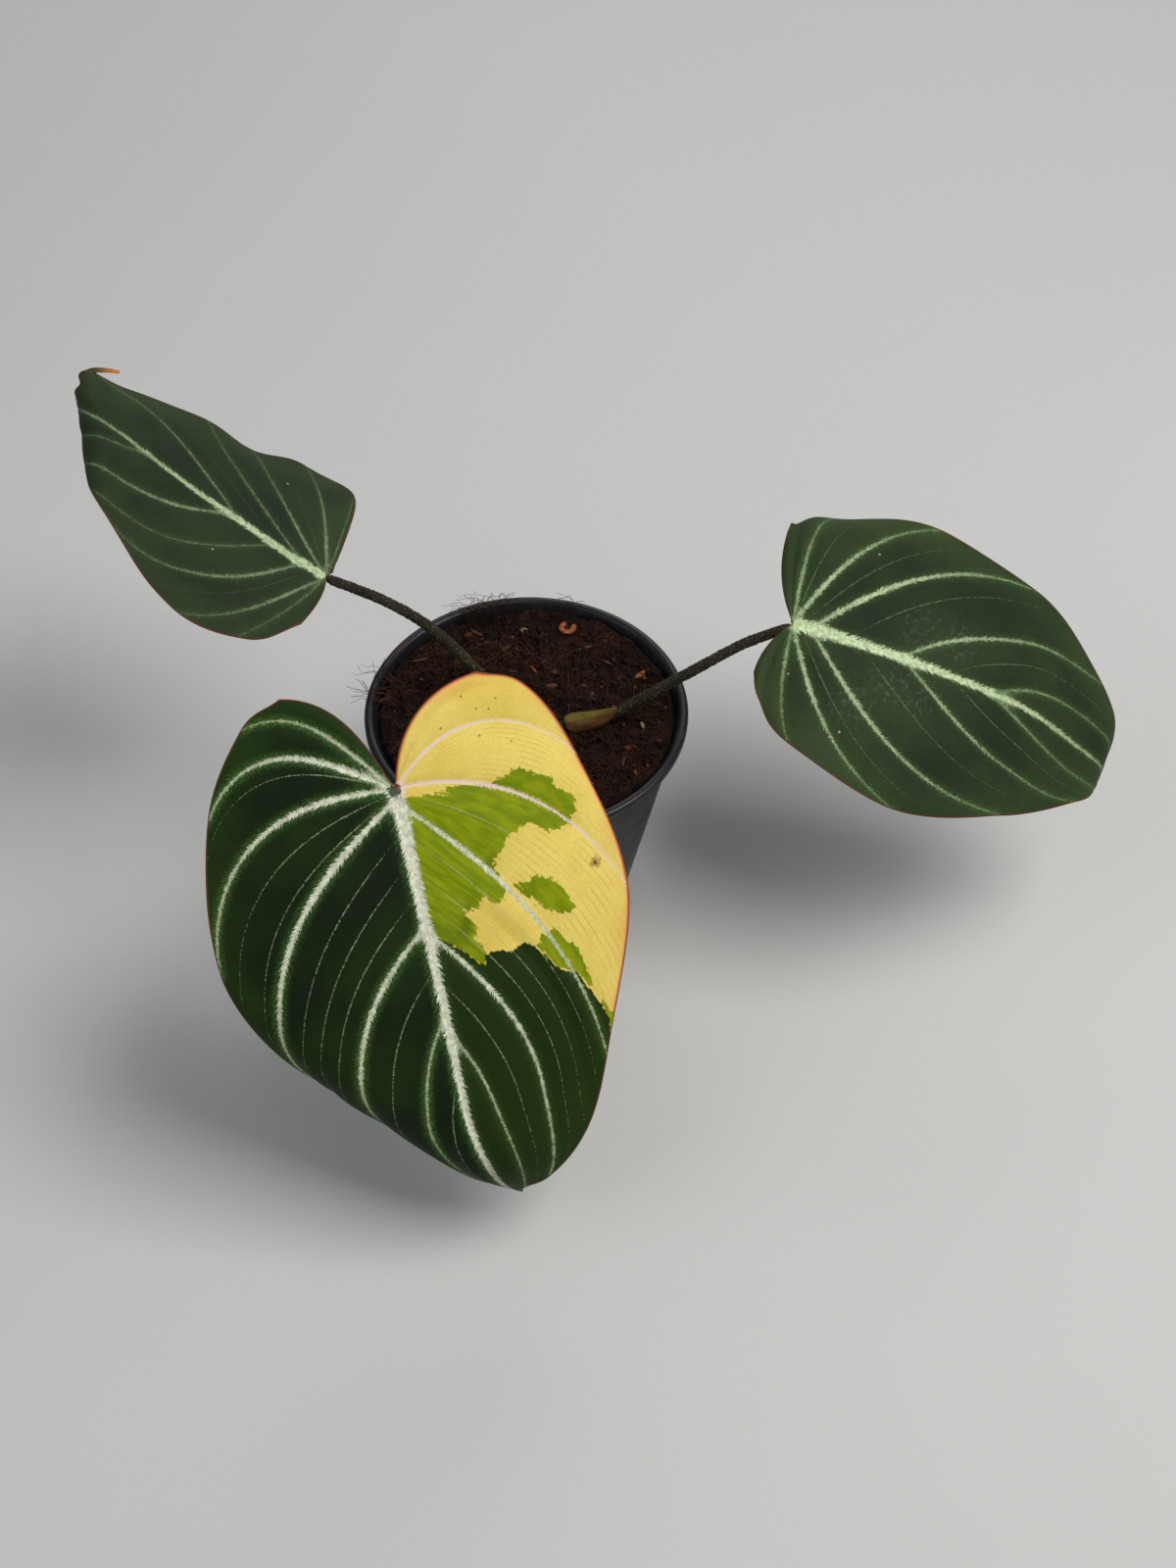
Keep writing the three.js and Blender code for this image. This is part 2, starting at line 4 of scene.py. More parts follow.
import bmesh
import bpy
import numpy as np
from mathutils import Matrix, Vector, noise


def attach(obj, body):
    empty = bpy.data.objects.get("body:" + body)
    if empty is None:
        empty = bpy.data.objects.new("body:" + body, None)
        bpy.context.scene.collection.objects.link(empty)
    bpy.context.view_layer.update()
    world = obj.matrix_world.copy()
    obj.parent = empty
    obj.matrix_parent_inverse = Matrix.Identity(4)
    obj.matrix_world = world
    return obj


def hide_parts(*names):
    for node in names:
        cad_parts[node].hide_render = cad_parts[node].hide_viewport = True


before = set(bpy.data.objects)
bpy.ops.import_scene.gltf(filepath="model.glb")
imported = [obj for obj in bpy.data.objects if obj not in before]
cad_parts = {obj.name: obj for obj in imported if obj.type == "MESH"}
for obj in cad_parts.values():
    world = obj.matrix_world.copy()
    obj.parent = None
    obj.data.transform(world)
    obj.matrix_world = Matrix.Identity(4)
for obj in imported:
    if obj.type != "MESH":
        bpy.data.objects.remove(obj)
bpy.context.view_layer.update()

# A Philodendron gloriosum in a black nursery pot: pot, coir, creeping stem with its stalks, then the three
# blades. Sizes are in millimetres and become metres where a mesh is made.
MM = 0.001


# ---------------- studio
# A pale sheet to stand on, a wide softbox high on the right, a weaker one on the left and a little light
# all round. The camera looks down on the plant from in front of its half-yellow leaf.
CAMERA_TILT = 48.65
scene = bpy.context.scene
scene.view_settings.view_transform = "Standard"

camera_data = bpy.data.cameras.new("camera")
camera_data.lens = 50
camera_data.sensor_width = 36
camera_data.clip_end = 20
camera = bpy.data.objects.new("camera", camera_data)
camera.location = (0.0228, -0.554, 0.679)
camera.rotation_euler = (math.radians(90 - CAMERA_TILT), 0, 0)
scene.collection.objects.link(camera)
scene.camera = camera


def softbox(name, place, size, power, tint):
    lamp = bpy.data.lights.new(name, "AREA")
    lamp.shape = "SQUARE"
    lamp.size = size
    lamp.energy = power
    lamp.color = tint
    box = bpy.data.objects.new(name, lamp)
    box.location = place
    aim = Vector((0, 0, 0.1)) - Vector(place)
    box.rotation_euler = aim.to_track_quat("-Z", "Y").to_euler()
    scene.collection.objects.link(box)


softbox("softbox_right", (0.75, -0.25, 1.35), 0.9, 17.5, (1, 0.97, 0.93))
softbox("softbox_left", (-1.1, -0.5, 1.1), 1.1, 4.4, (0.93, 0.96, 1))
softbox("softbox_back", (0.1, 1.3, 0.9), 0.8, 4.4, (0.95, 0.97, 1))

sky = bpy.data.worlds.new("sky")
sky.use_nodes = True
sky.node_tree.nodes["Background"].inputs["Color"].default_value = (0.9, 0.94, 1, 1)
sky.node_tree.nodes["Background"].inputs["Strength"].default_value = 0.18
scene.world = sky


class Wiring:
    """Adds shader nodes to one material or node group and joins them."""

    def __init__(self, tree):
        self.tree = tree

    def fill(self, node, inputs):
        for key, value in inputs.items():
            if isinstance(value, bpy.types.NodeSocket):
                self.tree.links.new(value, node.inputs[key])
            else:
                node.inputs[key].default_value = value
        return node.outputs

    def add(self, kind, inputs=None, out=0, **settings):
        node = self.tree.nodes.new("ShaderNode" + kind)
        for key, value in settings.items():
            setattr(node, key, value)
        return self.fill(node, inputs or {})[out]

    def use(self, group, inputs):
        """Puts a shared effect in; hands back its outputs."""
        node = self.tree.nodes.new("ShaderNodeGroup")
        node.node_tree = group
        return self.fill(node, inputs)

    def here(self):
        """Where a point lies on its piece, in metres."""
        return self.add("TexCoord", out=3)

    def value(self, name):
        return self.add("Attribute", out=2, attribute_name=name)

    def vector(self, name):
        return self.add("Attribute", out=1, attribute_name=name)

    def axis(self, vector, number):
        return self.add("SeparateXYZ", {0: vector}, out=number)

    def reckon(self, operation, a, b):
        return self.add("Math", {0: a, 1: b}, operation=operation)

    def plus(self, a, b):
        return self.reckon("ADD", a, b)

    def times(self, a, b):
        return self.reckon("MULTIPLY", a, b)

    def step(self, value, low, high, to_low=0, to_high=1):
        return self.add("MapRange", {0: value, 1: low, 2: high, 3: to_low, 4: to_high},
                        interpolation_type="SMOOTHSTEP")

    def mix(self, amount, a, b, blend="MIX"):
        a, b = ((*c, 1) if isinstance(c, tuple) else c for c in (a, b))
        return self.add("Mix", {0: amount, 6: a, 7: b}, out=2, data_type="RGBA", blend_type=blend)

    def coat(self, colour, mask, strength, tint):
        """Lays a tint over a colour where a mask says."""
        return self.mix(self.times(mask, strength), colour, tint)

    def scaled(self, colour, factor):
        return self.mix(1, colour, (factor,) * 3, "MULTIPLY")

    def grain(self, vector, scale, detail=2, rough=0.5):
        return self.add("TexNoise", {"Vector": vector, "Scale": scale, "Detail": detail, "Roughness": rough})

    def swing(self, vector, scale, detail=2, rough=0.5):
        """Grain about zero."""
        return self.reckon("SUBTRACT", self.grain(vector, scale, detail, rough), 0.5)

    def patches(self, vector, scale, low, high, detail=2, rough=0.5):
        """Grain drawn apart into soft-edged patches."""
        return self.step(self.grain(vector, scale, detail, rough), low, high)

    def net(self, vector, scale):
        return self.add("TexVoronoi", {"Vector": vector, "Scale": scale}, feature="DISTANCE_TO_EDGE")

    def stretched(self, vector, scale):
        return self.add("Mapping", {"Vector": vector, "Scale": scale})

    def bump(self, height, strength, distance):
        return self.add("Bump", {"Height": height, "Strength": strength, "Distance": distance})

    def dress(self, **sockets):
        """Joins what varies over the surface to the material's shader."""
        self.fill(self.shader, {key.replace("_", " ").title(): value for key, value in sockets.items()})


def new_material(name, **surface):
    """A material and its wiring. Plain values are set on the Principled shader's own sockets."""
    material = bpy.data.materials.new(name)
    material.use_nodes = True
    wire = Wiring(material.node_tree)
    wire.shader = material.node_tree.nodes["Principled BSDF"]
    for key, value in surface.items():
        wire.shader.inputs[key.replace("_", " ").title().replace("Ior", "IOR")].default_value = value
    return material, wire


paper, wire = new_material("pale paper", roughness=0.75, specular_ior_level=0.2)
wire.dress(base_color=wire.mix(wire.grain(wire.here(), 3, 4), (0.6, 0.6, 0.59), (0.64, 0.64, 0.63)))


def shown(name, body, materials=()):
    """Turns a finished mesh into an object of the scene."""
    mesh = bpy.data.meshes.new(name)
    body.to_mesh(mesh)
    body.free()
    for material in materials:
        mesh.materials.append(material)
    thing = bpy.data.objects.new(name, mesh)
    scene.collection.objects.link(thing)
    return thing


sheet = bmesh.new()
bmesh.ops.create_grid(sheet, x_segments=4, y_segments=4, size=4)
floor = shown("floor", sheet, [paper])


# ---------------- pot
# A thin black nursery pot, vacuum formed from a sheet: tapering wall, a rolled lip that stiffens its mouth,
# a faint stacking ledge below the lip and drain holes punched through the floor.
POT_HEIGHT = 92
POT_BASE = 39
POT_SLOPE = 0.2
POT_WALL = 1.4
POT_FLOOR = 2
LIP_FROM = 88
LEDGE = 72.5
DRAIN_HOLES = 8
DRAIN_RADIUS = 3.6
DRAIN_CIRCLE = 29


def pot_outside(z):
    return POT_BASE + POT_SLOPE * z


def pot_inside(z):
    return pot_outside(z) - POT_WALL


def sealed(body):
    """Welds what touches and turns every face outwards."""
    bmesh.ops.remove_doubles(body, verts=body.verts, dist=1e-6)
    bmesh.ops.recalc_face_normals(body, faces=body.faces)


def spun(profile, steps):
    """A closed body of revolution from [radius, height] pairs that start and end on the axis."""
    turned = bmesh.new()
    corners = [turned.verts.new((r * MM, 0, z * MM)) for r, z in profile]
    edges = [turned.edges.new(pair) for pair in zip(corners, corners[1:])]
    bmesh.ops.spin(turned, geom=corners + edges, axis=(0, 0, 1), cent=(0, 0, 0), angle=2 * math.pi,
                   steps=steps, use_merge=True)
    sealed(turned)
    return turned


def add_piece(name, body, materials, stands_for=None):
    """Puts a finished mesh on show: it rides on the part's one body and may stand for a plain solid."""
    piece = shown(name, body, materials)
    piece.data.shade_smooth()
    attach(piece, "root")
    if stands_for:
        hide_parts(stands_for)
    return piece


black_plastic, wire = new_material("black plastic", specular_ior_level=0.35)
here = wire.here()
low_to_rim = wire.step(wire.axis(here, 2), 0.06, 0.092, 0.15, 0.7)
dust = wire.times(wire.patches(here, 60, 0.5, 0.75, 5, 0.65), low_to_rim)
scuffs = wire.grain(wire.stretched(here, (30, 30, 400)), 2, 3)
wire.dress(base_color=wire.mix(dust, (0.007, 0.007, 0.009), (0.026, 0.024, 0.024)),
           roughness=wire.step(wire.plus(scuffs, dust), 0.35, 1.1, 0.34, 0.62),
           normal=wire.bump(wire.plus(wire.grain(here, 900), wire.times(scuffs, 0.6)), 0.25, 0.00012))

foot = [(0, 0), (36.8, 0), (38.2, 0.15), (39.1, 0.9)]
lower_wall = [(pot_outside(z), z) for z in (POT_FLOOR, *range(8, 72, 8))]
ledge = [(pot_outside(LEDGE) - 0.1, LEDGE), (pot_outside(LEDGE) + 0.28, LEDGE + 0.4)]
upper_wall = [(pot_outside(z) + 0.2 * (LIP_FROM - z) / 15, z) for z in (76, 80, 84, 87.5)]
lip = [(pot_outside(88.2), 88.2), (58.9, 88.3), (59.6, 88.7), (60, 89.5), (60, 91), (59.6, 91.7)]
lip += [(58.9, POT_HEIGHT), (57.9, POT_HEIGHT), (57.1, 91.8), (56.6, 91.2), (56.2, 90.3)]
lip += [(pot_inside(89), 89)]
inner_wall = [(pot_inside(z), z) for z in (80, 60, 40, 20, 2.6)] + [(pot_inside(POT_FLOOR) - 0.6, POT_FLOOR)]
pot_body = spun(foot + lower_wall + ledge + upper_wall + lip + inner_wall + [(0, POT_FLOOR)], 160)
pot = add_piece("nursery_pot", pot_body, [black_plastic], "pot")

punch_body = bmesh.new()
for hole in range(DRAIN_HOLES):
    turn = 2 * math.pi * (hole + 0.5) / DRAIN_HOLES
    at = Matrix.Translation((DRAIN_CIRCLE * MM * math.cos(turn), DRAIN_CIRCLE * MM * math.sin(turn), MM))
    bmesh.ops.create_cone(punch_body, cap_ends=True, segments=28, radius1=DRAIN_RADIUS * MM,
                          radius2=DRAIN_RADIUS * MM, depth=8 * MM, matrix=at)
punch = shown("punch", punch_body)
cut = pot.modifiers.new("drain holes", "BOOLEAN")
cut.operation = "DIFFERENCE"
cut.object = punch
bpy.context.view_layer.update()
punched = bpy.data.meshes.new_from_object(pot.evaluated_get(bpy.context.evaluated_depsgraph_get()))
pot.modifiers.clear()
pot.data = punched
bpy.data.objects.remove(punch)


# ---------------- coir bed
# The pot is filled with coir, the brown fibre of coconut husks, to 2.5 mm below its rim. It lies as a lumpy
# bed that is pressed flat under the bark chip.
SOIL_LEVEL = 89.5
SOIL_RELIEF = 1.3
SOIL_EDGE = pot_inside(LIP_FROM) - 0.3
CHIP_CENTRE = (15, 44)


def from_chip(x, y):
    return math.hypot(x - CHIP_CENTRE[0], y - CHIP_CENTRE[1])


def soil_height(x, y):
    lumps = math.sin(0.31 * x + 0.17 * y + 1) * math.sin(0.27 * y - 0.12 * x + 2)
    lumps += 0.6 * math.sin(0.61 * x - 0.42 * y) * math.sin(0.53 * y + 0.33 * x + 0.7)
    calm = min(max((from_chip(x, y) - 6) / 4, 0), 1)
    crumb = noise.noise(Vector((x, y, 3)) * 0.45) + 0.7 * noise.noise(Vector((x, y, 9)) * 1.1)
    return SOIL_LEVEL + SOIL_RELIEF * lumps * calm * calm * (3 - 2 * calm) + 0.9 * crumb


crumbly, wire = new_material("coir bed", roughness=0.95, specular_ior_level=0.15)
here = wire.here()
clods = wire.add("TexVoronoi", {"Vector": here, "Scale": 420})
damp = wire.patches(here, 160, 0.35, 0.7, 5, 0.7)
browns = wire.mix(damp, (0.004, 0.0017, 0.0012), (0.024, 0.0085, 0.0045))
wire.dress(base_color=wire.mix(wire.patches(here, 700, 0.62, 0.74, 3), browns, (0.06, 0.02, 0.009)),
           normal=wire.bump(wire.plus(clods, wire.grain(here, 1500, 3)), 0.9, 0.0009))

sides = [(0, 2.3), (pot_inside(2.3) - 0.3, 2.3), (SOIL_EDGE - 0.4, 85.5), (SOIL_EDGE, LIP_FROM)]
bed = spun(sides + [(SOIL_EDGE * ring / 56, SOIL_LEVEL) for ring in range(55, -1, -1)], 220)
for corner in bed.verts:
    if corner.co.z > (SOIL_LEVEL - 0.1) * MM:
        corner.co.z = soil_height(corner.co.x / MM, corner.co.y / MM) * MM
add_piece("coir_bed", bed, [crumbly], "substrate")


# ---------------- coir crumbs
# Loose crumbs of coir pith lie pressed on the bed, each a rough pebble. Most are dark, and a few are fresh
# and light.
CRUMBS = 2600
CRUMB_REACH = 53.6
# how far crumbs keep from the middle of the bark chip
CRUMBS_CLEAR = 5.2

crumb_skin, wire = new_material("coir crumbs", roughness=0.95, specular_ior_level=0.15)
here = wire.here()
grit = wire.grain(here, 900, 3, 0.6)
dark_crumb = wire.mix(grit, (0.005, 0.002, 0.0014), (0.03, 0.011, 0.0055))
light_crumb = wire.mix(grit, (0.06, 0.018, 0.008), (0.17, 0.06, 0.025))
wire.dress(base_color=wire.mix(wire.step(wire.value("shade"), 0.92, 0.98), dark_crumb, light_crumb),
           normal=wire.bump(wire.grain(here, 1800, 3), 0.8, 0.0005))


def scattered(count, seed, far):
    """Places on the bed, even over its area."""
    spread = random.Random(seed)
    for _ in range(count):
        r = far * math.sqrt(spread.random())
        a = 2 * math.pi * spread.random()
        yield spread, r * math.cos(a), r * math.sin(a)


def roughen(corners, depth, scale):
    for corner in corners:
        corner.co += depth * MM * noise.noise_vector(corner.co * scale)


crumbs = bmesh.new()
shades = crumbs.verts.layers.float.new("shade")
for spread, x, y in scattered(CRUMBS, 11, 53.2):
    size = 0.35 + 1.15 * spread.random() ** 2.5
    if from_chip(x, y) < CRUMBS_CLEAR or math.hypot(x, y) + size > CRUMB_REACH:
        continue
    tumble = spread.uniform(0, 6.3)
    turn = Matrix.Rotation(tumble, 4, Vector((spread.random(), spread.random(), 1)).normalized())
    long, wide, high = spread.uniform(0.7, 1.7), spread.uniform(0.6, 1.1), spread.uniform(0.4, 0.9)
    stretch = Matrix.Diagonal((long, wide, high, 1))
    at = Matrix.Translation((x * MM, y * MM, (soil_height(x, y) + 0.25 * size) * MM)) @ turn @ stretch
    made = bmesh.ops.create_icosphere(crumbs, subdivisions=1, radius=size * MM, matrix=at)["verts"]
    shade = spread.random()
    for corner in made:
        corner[shades] = shade
    roughen(made, 0.35 * size, 900)
add_piece("coir_crumbs", crumbs, [crumb_skin])


# ---------------- coir fibres
# Short curved fibres of husk lie tangled over the bed, and tufts of them hang out over the rim at the left
# and the back. Each is a thin round strand that narrows towards its ends.
FIBRES = 1500
FIBRE_REACH = 53.4
FIBRE_CURL = 0.5
FIBRES_CLEAR = 4.5
# a tuft comes up inside the pot, passes just above the lip and never dips into the coir
TUFT_FROM = (48, 90)
LIP_SPAN = (56, 60.4)
ABOVE_LIP = 92.3
ABOVE_COIR = 89.6
TUFT_STEPS = 8

fibre_skin, wire = new_material("coir fibres", roughness=0.8, specular_ior_level=0.25)
here = wire.here()
browns = wire.mix(wire.patches(here, 55, 0.35, 0.7), (0.01, 0.004, 0.002), (0.075, 0.028, 0.012))
wire.dress(base_color=wire.mix(wire.patches(here, 240, 0.6, 0.75), browns, (0.16, 0.07, 0.033)),
           normal=wire.bump(wire.grain(here, 3000), 0.5, 0.0002))


def strands(name, paths):
    """Thin strands along the given paths of (x, y, z, radius), made one piece."""
    curve = bpy.data.curves.new(name, "CURVE")
    curve.dimensions = "3D"
    curve.bevel_depth = MM
    curve.bevel_resolution = 0
    curve.use_fill_caps = True
    for path in paths:
        spline = curve.splines.new("POLY")
        spline.points.add(len(path) - 1)
        for point, (x, y, z, radius) in zip(spline.points, path):
            point.co = (x * MM, y * MM, z * MM, 1)
            point.radius = radius
    rope = bpy.data.objects.new(name, curve)
    scene.collection.objects.link(rope)
    bpy.context.view_layer.update()
    body = bmesh.new()
    body.from_mesh(rope.to_mesh())
    bpy.data.objects.remove(rope)
    add_piece(name, body, [fibre_skin])


def lying(spread, x, y, length, heading, lift, radius):
    """A strand that lies on the bed and bends as it goes."""
    steps = max(4, int(length / 1.6))
    turn = spread.uniform(-FIBRE_CURL, FIBRE_CURL)
    path = []
    for step in range(steps + 1):
        s = step / steps
        rise = lift * math.sin(math.pi * s) + spread.uniform(0, 0.15)
        keep = min(1, FIBRE_REACH / math.hypot(x, y))
        thin = 1 - 0.6 * abs(2 * s - 1) ** 3
        path.append((x * keep, y * keep, soil_height(x, y) + 0.3 + rise, radius * thin))
        heading += turn / steps * 3 + spread.uniform(-0.16, 0.16)
        x += length / steps * math.cos(heading)
        y += length / steps * math.sin(heading)
    return path


def tuft(seed, count, turn_from, turn_to, out, up):
    """Strands that come up from the bed and hang out over the rim between two bearings."""
    spread = random.Random(seed)
    root, low = TUFT_FROM
    for _ in range(count):
        a = math.radians(spread.uniform(turn_from, turn_to))
        far = 55.2 + (out + 1.5) * spread.random() ** 1.4
        top = 92.4 + up * spread.random() ** 1.5
        side = math.radians(spread.uniform(-12, 12))
        radius = spread.uniform(0.1, 0.19)
        curl = spread.uniform(0.3, 1.6)
        path = []
        for step in range(TUFT_STEPS + 1):
            s = step / TUFT_STEPS
            r = root + (far - root) * s
            droop = 2.5 * max(s - 0.65, 0) * spread.random() * 4
            z = low + (top - low) * math.sin(min(s * 1.7, 1) * math.pi / 2) - droop
            lowest = ABOVE_LIP if LIP_SPAN[0] < r < LIP_SPAN[1] else ABOVE_COIR
            b = a + side * s * s + 0.02 * curl * math.sin(9 * s + 6 * curl)
            x, y = (r * way + spread.uniform(-0.3, 0.3) for way in (math.cos(b), math.sin(b)))
            path.append((x, y, max(z, lowest), radius * (1 - 0.5 * s)))
        yield path


paths = []
for spread, x, y in scattered(FIBRES, 23, 52):
    if from_chip(x, y) < FIBRES_CLEAR:
        continue
    length = 3 + 13 * spread.random() ** 2
    heading = spread.uniform(0, 6.3)
    lift = 1.6 * spread.random() ** 2
    paths.append(lying(spread, x, y, length, heading, lift, 0.07 + 0.11 * spread.random() ** 2))
strands("coir_fibres", paths)
strands("fibres_over_rim", [*tuft(31, 26, 158, 178, 13, 2.5), *tuft(32, 50, 98, 118, 4, 9),
                            *tuft(33, 8, 68, 80, 3, 5)])


# ---------------- bark bits
# A few splinters of bark and twig lie about on the coir, as they fell in with it when the plant was potted.
# Some have weathered pale, some are still orange and most are dark brown.
twig_skin, wire = new_material("bark bits", roughness=0.85, specular_ior_level=0.25)
here = wire.here()
tint = wire.add("Attribute", out=0, attribute_name="tint")
streaks = wire.grain(wire.stretched(here, (500, 1500, 500)), 1, 4, 0.6)
shaded = wire.mix(0.55, tint, (0.02, 0.01, 0.006))
wire.dress(base_color=wire.mix(wire.step(streaks, 0.35, 0.65), shaded, tint),
           normal=wire.bump(streaks, 0.7, 0.0004))

PALE, ORANGE, BROWN = (0.3, 0.2, 0.11, 1), (0.33, 0.11, 0.04, 1), (0.1, 0.04, 0.018, 1)
# place, bearing, length, width and colour of each
BARK_BITS = [
    (-47.8, 31.9, 60, 9, 1.1, BROWN), (-41.1, 26.9, 15, 7, 0.9, BROWN), (42.6, 19.9, 40, 5.5, 2.1, ORANGE),
    (42.9, -7.6, 100, 3.4, 1.6, PALE), (40.9, -41.1, 20, 4.2, 1.5, PALE), (-1.9, 41.9, 10, 3.6, 0.8, PALE),
    (-1.9, 41.9, 70, 3.2, 0.8, PALE), (-1.9, 41.9, 130, 3.4, 0.7, PALE), (30, 26.9, 150, 6, 1.6, BROWN),
    (24, 10.9, 80, 5, 1.9, BROWN), (47, 10.9, 60, 4, 2.4, BROWN), (-8, 32.9, 30, 5, 1.8, BROWN),
    (2, 23.9, 120, 6.5, 1.3, ORANGE), (36, -23.1, 75, 5.5, 1.7, BROWN), (-20, 40.9, 145, 6, 1.4, BROWN),
    (9, 12.9, 10, 4.5, 2.2, BROWN), (33, 0.9, 125, 3.6, 1.5, ORANGE), (22, 32.9, 20, 7, 1.2, BROWN),
]
bits = bmesh.new()
tints = bits.verts.layers.float_color.new("tint")
for x, y, bearing, long, wide, tint in BARK_BITS:
    at = Matrix.Translation((x * MM, y * MM, (soil_height(x, y) + 0.55) * MM))
    turn = Matrix.Rotation(math.radians(bearing), 4, "Z")
    lie = at @ turn @ Matrix.Diagonal((long / 2, wide / 2, wide / 4, 1))
    for corner in bmesh.ops.create_icosphere(bits, subdivisions=3, radius=MM, matrix=lie)["verts"]:
        corner[tints] = tint
        coarse, fine = noise.noise_vector(corner.co * 700), noise.noise_vector(corner.co * 2500)
        corner.co += 0.3 * MM * coarse + 0.1 * MM * fine
add_piece("bark_bits", bits, [twig_skin])


# ---------------- bark chip
# One curl of orange-brown bark lies on the coir behind the stalks. It dried into a hook, and its surface
# has worn fuzzy.
CHIP_OUTER = 3.4
CHIP_INNER = 1.3
CHIP_BOTTOM = 89.8
CHIP_TOP = 91.1

chip_skin, wire = new_material("orange bark", roughness=0.85, specular_ior_level=0.2)
here = wire.here()
worn = wire.patches(here, 700, 0.35, 0.65, 4, 0.65)
wire.dress(base_color=wire.mix(worn, (0.13, 0.032, 0.011), (0.46, 0.14, 0.05)),
           normal=wire.bump(wire.grain(here, 1900, 3), 0.8, 0.0004))

chip = bmesh.new()
half_width, half_height = (CHIP_OUTER - CHIP_INNER) / 2, (CHIP_TOP - CHIP_BOTTOM) / 2
for corner in bmesh.ops.create_circle(chip, cap_ends=True, segments=14, radius=1)["verts"]:
    across, up = corner.co.x, corner.co.y
    corner.co = Vector((CHIP_INNER + half_width * (1 + across), 0, half_height * up)) * MM
face = chip.faces[:]
bmesh.ops.rotate(chip, verts=chip.verts, matrix=Matrix.Rotation(math.radians(105), 3, "Z"))
bmesh.ops.spin(chip, geom=face, axis=(0, 0, 1), cent=(0, 0, 0), angle=math.radians(285), steps=44)
sealed(chip)
roughen(chip.verts, 0.28, 900)
bmesh.ops.translate(chip, verts=chip.verts, vec=Vector((*CHIP_CENTRE, (CHIP_BOTTOM + CHIP_TOP) / 2)) * MM)
add_piece("bark_chip_curl", chip, [chip_skin], "bark_chip")


# ---------------- creeping stem and leaf stalks
# The thick ringed stem creeps half sunk along the coir; a stalk rises from it to the notch of each blade.
# The stalks are dark green-brown, rough and warty to the touch and flecked with short pale dashes.
RHIZOME_START = (-15, -10, 87.5)
RHIZOME_LENGTH = 29
RHIZOME_RADIUS = 6.4
RHIZOME_SCARS = 5
STALK_RADIUS = 2.1
STALK_SIDES = 24
STALK_STEPS = 260
STALKS = {
    "right": [(5, -9, 89), (15, -7.3, 90.7), (29, -5, 92.3), (41, -3.6, 100), (58.5, -1.8, 111.8),
              (79, -0.4, 126.2), (95.5, 0, 134.4)],
    "left": [(0, -9, 88.5), (-8, -1.4, 97.5), (-17, 3.6, 107), (-34, 11, 122.5), (-50, 16.8, 130.2),
             (-72.3, 24.8, 134.6)],
    "front": [(-4, -11, 88.5), (-11, -28, 106), (-24, -55, 130), (-40.1, -86.2, 144.6)],
}


def arch(points, per_span):
    """A smooth line through the points, evenly stepped, and its length."""
    points = [np.array(p, float) for p in points]
    points = [2 * points[0] - points[1]] + points + [2 * points[-1] - points[-2]]
    line = []
    for p0, p1, p2, p3 in zip(points, points[1:], points[2:], points[3:]):
        d0, d1, d2 = (math.sqrt(np.linalg.norm(b - a)) for a, b in ((p0, p1), (p1, p2), (p2, p3)))
        m1 = ((p1 - p0) / d0 - (p2 - p0) / (d0 + d1) + (p2 - p1) / d1) * d1
        m2 = ((p2 - p1) / d1 - (p3 - p1) / (d1 + d2) + (p3 - p2) / d2) * d1
        for t in np.arange(per_span) / per_span:
            line.append(p1 + m1 * t + (3 * (p2 - p1) - 2 * m1 - m2) * t**2 + (2 * (p1 - p2) + m1 + m2) * t**3)
    line = np.array(line + [points[-2]])
    reach = np.concatenate([[0], np.cumsum(np.linalg.norm(np.diff(line, axis=0), axis=1))])
    even = np.linspace(0, reach[-1], len(line))
    return np.stack([np.interp(even, reach, line[:, axis]) for axis in range(3)], axis=1), reach[-1]


def lattice(body, columns, rows):
    """A fresh grid whose corners are given with their column and row."""
    made = bmesh.ops.create_grid(body, x_segments=columns, y_segments=rows, size=1)["verts"]
    return [(corner, round((corner.co.x + 1) / 2 * columns), round((corner.co.y + 1) / 2 * rows))
            for corner in made]


def rough_rod(body, line, radius):
    """A round rod along the line with an uneven skin."""
    ahead = np.gradient(line, axis=0)
    ahead /= np.linalg.norm(ahead, axis=1)[:, None]
    side = np.cross(ahead, (0, 0, 1))
    side /= np.linalg.norm(side, axis=1)[:, None]
    over = np.cross(side, ahead)
    for corner, i, j in lattice(body, len(line) - 1, STALK_SIDES):
        a = 2 * math.pi * j / STALK_SIDES
        out = side[i] * math.cos(a) + over[i] * math.sin(a)
        spot = Vector(line[i] + out * 2)
        rough = 0.16 * noise.noise(spot * 1.1) + 0.12 * noise.noise(spot * 2.3)
        corner.co = (line[i] + out * radius[i] * (1 + rough)) * MM


stem_skin, wire = new_material("stem skin", roughness=0.7, specular_ior_level=0.28)
here = wire.here()
blotches = wire.patches(here, 170, 0.35, 0.65, 4, 0.65)
warts = wire.patches(here, 1500, 0.5, 0.62, 3, 0.65)
flecks = wire.patches(wire.stretched(here, (1100, 1300, 700)), 1, 0.6, 0.66, 2, 0.6)
low_green = wire.mix(blotches, (0.0085, 0.0075, 0.003), (0.022, 0.022, 0.0065))
high_brown = wire.mix(blotches, (0.013, 0.0085, 0.004), (0.03, 0.021, 0.0095))
skin_tone = wire.mix(wire.step(wire.axis(here, 2), 0.105, 0.128), low_green, high_brown)
skin_tone = wire.coat(skin_tone, warts, 0.6, (0.09, 0.082, 0.026))
wire.dress(base_color=wire.coat(skin_tone, flecks, 0.55, (0.22, 0.2, 0.13)),
           normal=wire.bump(wire.plus(wire.grain(here, 1500, 3), warts), 0.9, 0.0005))

